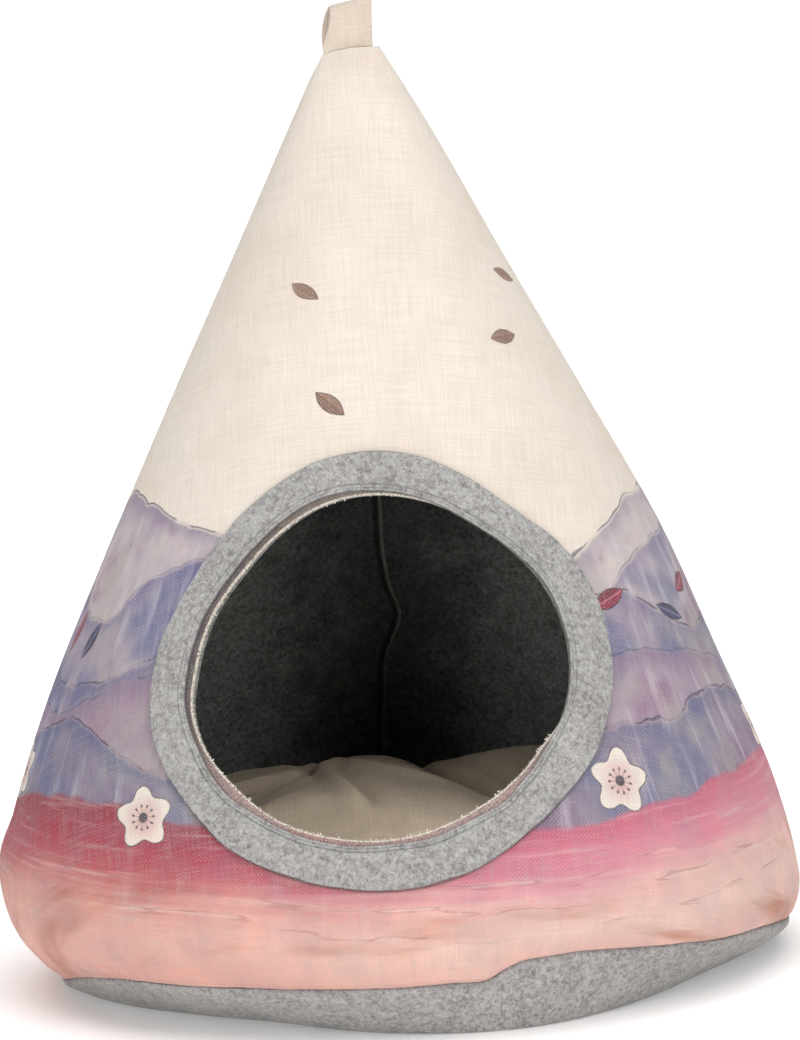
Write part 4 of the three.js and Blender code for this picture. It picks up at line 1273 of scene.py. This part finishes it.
# Sewing round the band, in its groove
bandSewing = {
    "Stitch Length": 2.5 * mm, "Stitch Gap": 0.5 * mm, "Thread Radius": 0.24 * mm, "Unevenness": 0.12,
    "Seed": 4, "Thread": feltThread,
    "pathSteps": 600, "lift": 0.1,
}
ringAngle = np.linspace(0, 2 * math.pi, bandSewing["pathSteps"], endpoint=False)
ringInner, ringOuter = lipReaches(ringAngle)[1], bandReach(ringAngle, "outer")
sewAlong = np.full_like(ringAngle, bandLook["stitchAt"])
sewHeight = bandHeight(sewAlong, ringOuter - ringInner) + bandSewing["lift"]
sewLine = wallLayer(*bandPlace(ringAngle, ringInner + sewAlong), sewHeight)
bandStitches = growThreads(threadPath("band_stitches", sewLine, 0 * sewLine, True), stitches, bandSewing)

# Fraying of the cover's cut edge, where it shows inside the band
fraying = {
    "Spacing": 0.8 * mm, "Shortest": 0.45 * mm, "Longest": 1.5 * mm, "Slenderness": 0.2, "Spread": 0.9,
    "Seed": 7, "Thread": linenThread,
    "pathSteps": 460, "between": (-246, 8), "inCloth": 0.4,  # degrees from the top, share of its depth
}
cutAngle = np.radians(np.linspace(*fraying["between"], fraying["pathSteps"]))
cutReach = lipReaches(cutAngle)[0]
clothMiddle = np.full_like(cutAngle, -fraying["inCloth"] * coverLook["thick"])
cutLine = wallLayer(*bandPlace(cutAngle, cutReach), clothMiddle)
inward = cutLine - wallLayer(*bandPlace(cutAngle, cutReach + 2), clothMiddle)
rawThreads = growThreads(threadPath("raw_edge_threads", cutLine, inward, False), frays, fraying)

# Overcasting down the lining's back seam
seamSewing = {
    "Stitch Length": 6.5 * mm, "Stitch Gap": 0.5 * mm, "Thread Radius": 0.36 * mm, "Unevenness": 0.25,
    "Seed": 9, "Thread": seamThread,
    "pathSteps": 220, "between": (64, 350), "lift": 0.2, "waver": (0.5, 6.1, 15),  # size, two wave lengths
}
seamDown = np.linspace(*seamSewing["between"], seamSewing["pathSteps"])
waver, short, long = seamSewing["waver"]
seamSide = tableAt(wall["seamLine"], seamDown)[:, 0]
seamSide = seamSide + waver * np.sin(seamDown / short) * np.sin(seamDown / long)
seamAzimuth = math.pi - seamSide / (wall["coneSine"] * (wall["topReach"] + seamDown))
seamOffset = -coverLook["thick"] - liningLook["gap"] - liningLook["thick"] - liningLook["seamRidge"]
seamLine = wallLayer(seamAzimuth, seamDown, seamOffset - seamSewing["lift"])
seamPath = threadPath("lining_seam_stitches", seamLine, 0 * seamLine, False)
liningStitches = growThreads(seamPath, stitches, seamSewing)

# What each piece rides on, the part it stands for, and a finish name that nothing reads
pieceFacts = [
    (cover, "cover", "printed_linen"), (lining, "lining", "lining_felt"),
    (band, "entrance_band", "grey_felt"), (base, "base", "grey_felt"),
    (cushion, "cushion", "cushion_linen"), (loop, "loop", "tape_linen"),
]
for piece, node, slotName in pieceFacts:
    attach(piece, "root")
    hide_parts(node)
threadFacts = [(bandStitches, "grey_felt"), (rawThreads, "printed_linen"), (liningStitches, "lining_felt")]
for piece, slotName in threadFacts:
    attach(piece, "root")
print("pieces:", len(pieceFacts) + len(threadFacts))

# Floor, light and camera
stageLook = {
    "floorSize": 8.0, "floorTone": "#F8F8F8", "floorClouds": 40,  # mm
    "floorGlow": (0.20, 0.34), "glowReach": (0.3, 0.8),  # white acrylic lit from below, more so farther out
    # a white backdrop, a lit ceiling and little between, each with the directions that it fades over
    "horizon": 1.06, "horizonFade": (0.036, 0.07), "overhead": 2.75, "overheadFade": (0.82, 0.88),
    "sky": 0.12, "front": 0.02, "frontFade": (-0.4, 0.2),
    # soft boxes: bearing from the front and height above the floor in degrees, power, width and height
    "boxes": [
        ("left_soft_box", -27, 15, 10.2, 0.55, 1.5), ("right_soft_box", 27, 19, 12.2, 0.55, 1.5),
        ("top_soft_box", 20, 46, 4.8, 1.0, 0.6),
    ],
    "boxReach": 2.2, "boxAim": (0, 0, 0.2),
}
floorMesh = bpy.data.meshes.new("floor")
half = stageLook["floorSize"] / 2
corners = [(-half, -half, 0), (half, -half, 0), (half, half, 0), (-half, half, 0)]
floorMesh.from_pydata(corners, [], [(0, 1, 2, 3)])
acrylic, add = startMaterial("white_acrylic")  # a white sheet lit from below, faintly uneven, hardly glossy
sheetPlace = add("TexCoord", out="Object")
cloudSize = stageLook["floorClouds"] * mm
sheetClouds = add("TexNoise", {}, {"Vector": sheetPlace, "Scale": 1 / cloudSize, "Detail": 2.0})
sheetShade = add("MapRange", {}, [sheetClouds, 0.3, 0.7, 0.985, 1.0])
farOut = add("VectorMath", "LENGTH", [sheetPlace], "Value")
finishMaterial(acrylic, add, {
    "Base Color": add("VectorMath", "SCALE", [linear(stageLook["floorTone"])[:3], sheetShade]),
    "Emission Strength": add("MapRange", smooth, [farOut, *stageLook["glowReach"], *stageLook["floorGlow"]]),
    "Roughness": 0.9, "IOR": 1.49, "Specular IOR Level": 0.1, "Emission Color": (1, 1, 1, 1),
})
floorMesh.materials.append(acrylic)
floorPiece = bpy.data.objects.new("floor", floorMesh)
scene.collection.objects.link(floorPiece)

world = bpy.data.worlds.new("studio")
world.use_nodes = True
world.node_tree.nodes.clear()
add = partial(addNode, world.node_tree)
upwards = add("SeparateXYZ", {}, [add("TexCoord", out="Generated")], "Z")
backwards = upwards.node.outputs["Y"]
between = add("MapRange", smooth, [backwards, *stageLook["frontFade"], stageLook["front"], stageLook["sky"]])
backdrop = add("MapRange", smooth, [upwards, *stageLook["horizonFade"], stageLook["horizon"], 0.0])
ceiling = add("MapRange", smooth, [upwards, *stageLook["overheadFade"], 0.0, stageLook["overhead"]])
glow = add("Math", "MAXIMUM", [add("Math", "MAXIMUM", [backdrop, between]), ceiling])
skyLight = add("Background", {}, {"Color": (1, 1, 1, 1), "Strength": glow})
add("OutputWorld", {}, {"Surface": skyLight})
scene.world = world

for name, bearing, height, power, wide, tall in stageLook["boxes"]:
    softBox = bpy.data.lights.new(name, "AREA")
    softBox.shape = "RECTANGLE"
    softBox.size = wide
    softBox.size_y = tall
    softBox.energy = power
    bearing, height = math.radians(bearing), math.radians(height)
    level = math.cos(height)
    way = Vector((math.sin(bearing) * level, -math.cos(bearing) * level, math.sin(height)))
    lamp = bpy.data.objects.new(name, softBox)
    lamp.location = Vector(stageLook["boxAim"]) + way * stageLook["boxReach"]
    lamp.rotation_euler = (-way).to_track_quat("-Z", "Y").to_euler()
    scene.collection.objects.link(lamp)
scene.view_settings.view_transform = "Standard"

# The photograph's view: far off and a little above, turned a few degrees so that the teepee leans left
view = {
    "place": (0.0, -1.9908, 0.4317), "target": (0.0, 0.0, 0.240),
    "aside": 0.01055, "below": 0.01407,  # the target stands left of and above the picture's middle
    "roll": 3.6, "lens": 137.8,
}


def cameraAxes(place, aim):
    forward = (aim - place).normalized()
    right = forward.cross(Vector((0, 0, 1))).normalized()
    up = right.cross(forward)
    c, s = math.cos(math.radians(view["roll"])), math.sin(math.radians(view["roll"]))
    return forward, right * c - up * s, right * s + up * c


place, target = Vector(view["place"]), Vector(view["target"])
forward, right, up = cameraAxes(place, target)
forward, right, up = cameraAxes(place, target + right * view["aside"] - up * view["below"])
cameraData = bpy.data.cameras.new("camera")
cameraData.lens = view["lens"]
cameraData.sensor_width = 36
camera = bpy.data.objects.new("camera", cameraData)
camera.matrix_world = Matrix.Translation(place) @ Matrix((right, up, -forward)).transposed().to_4x4()
scene.collection.objects.link(camera)
scene.camera = camera
print("stage set")
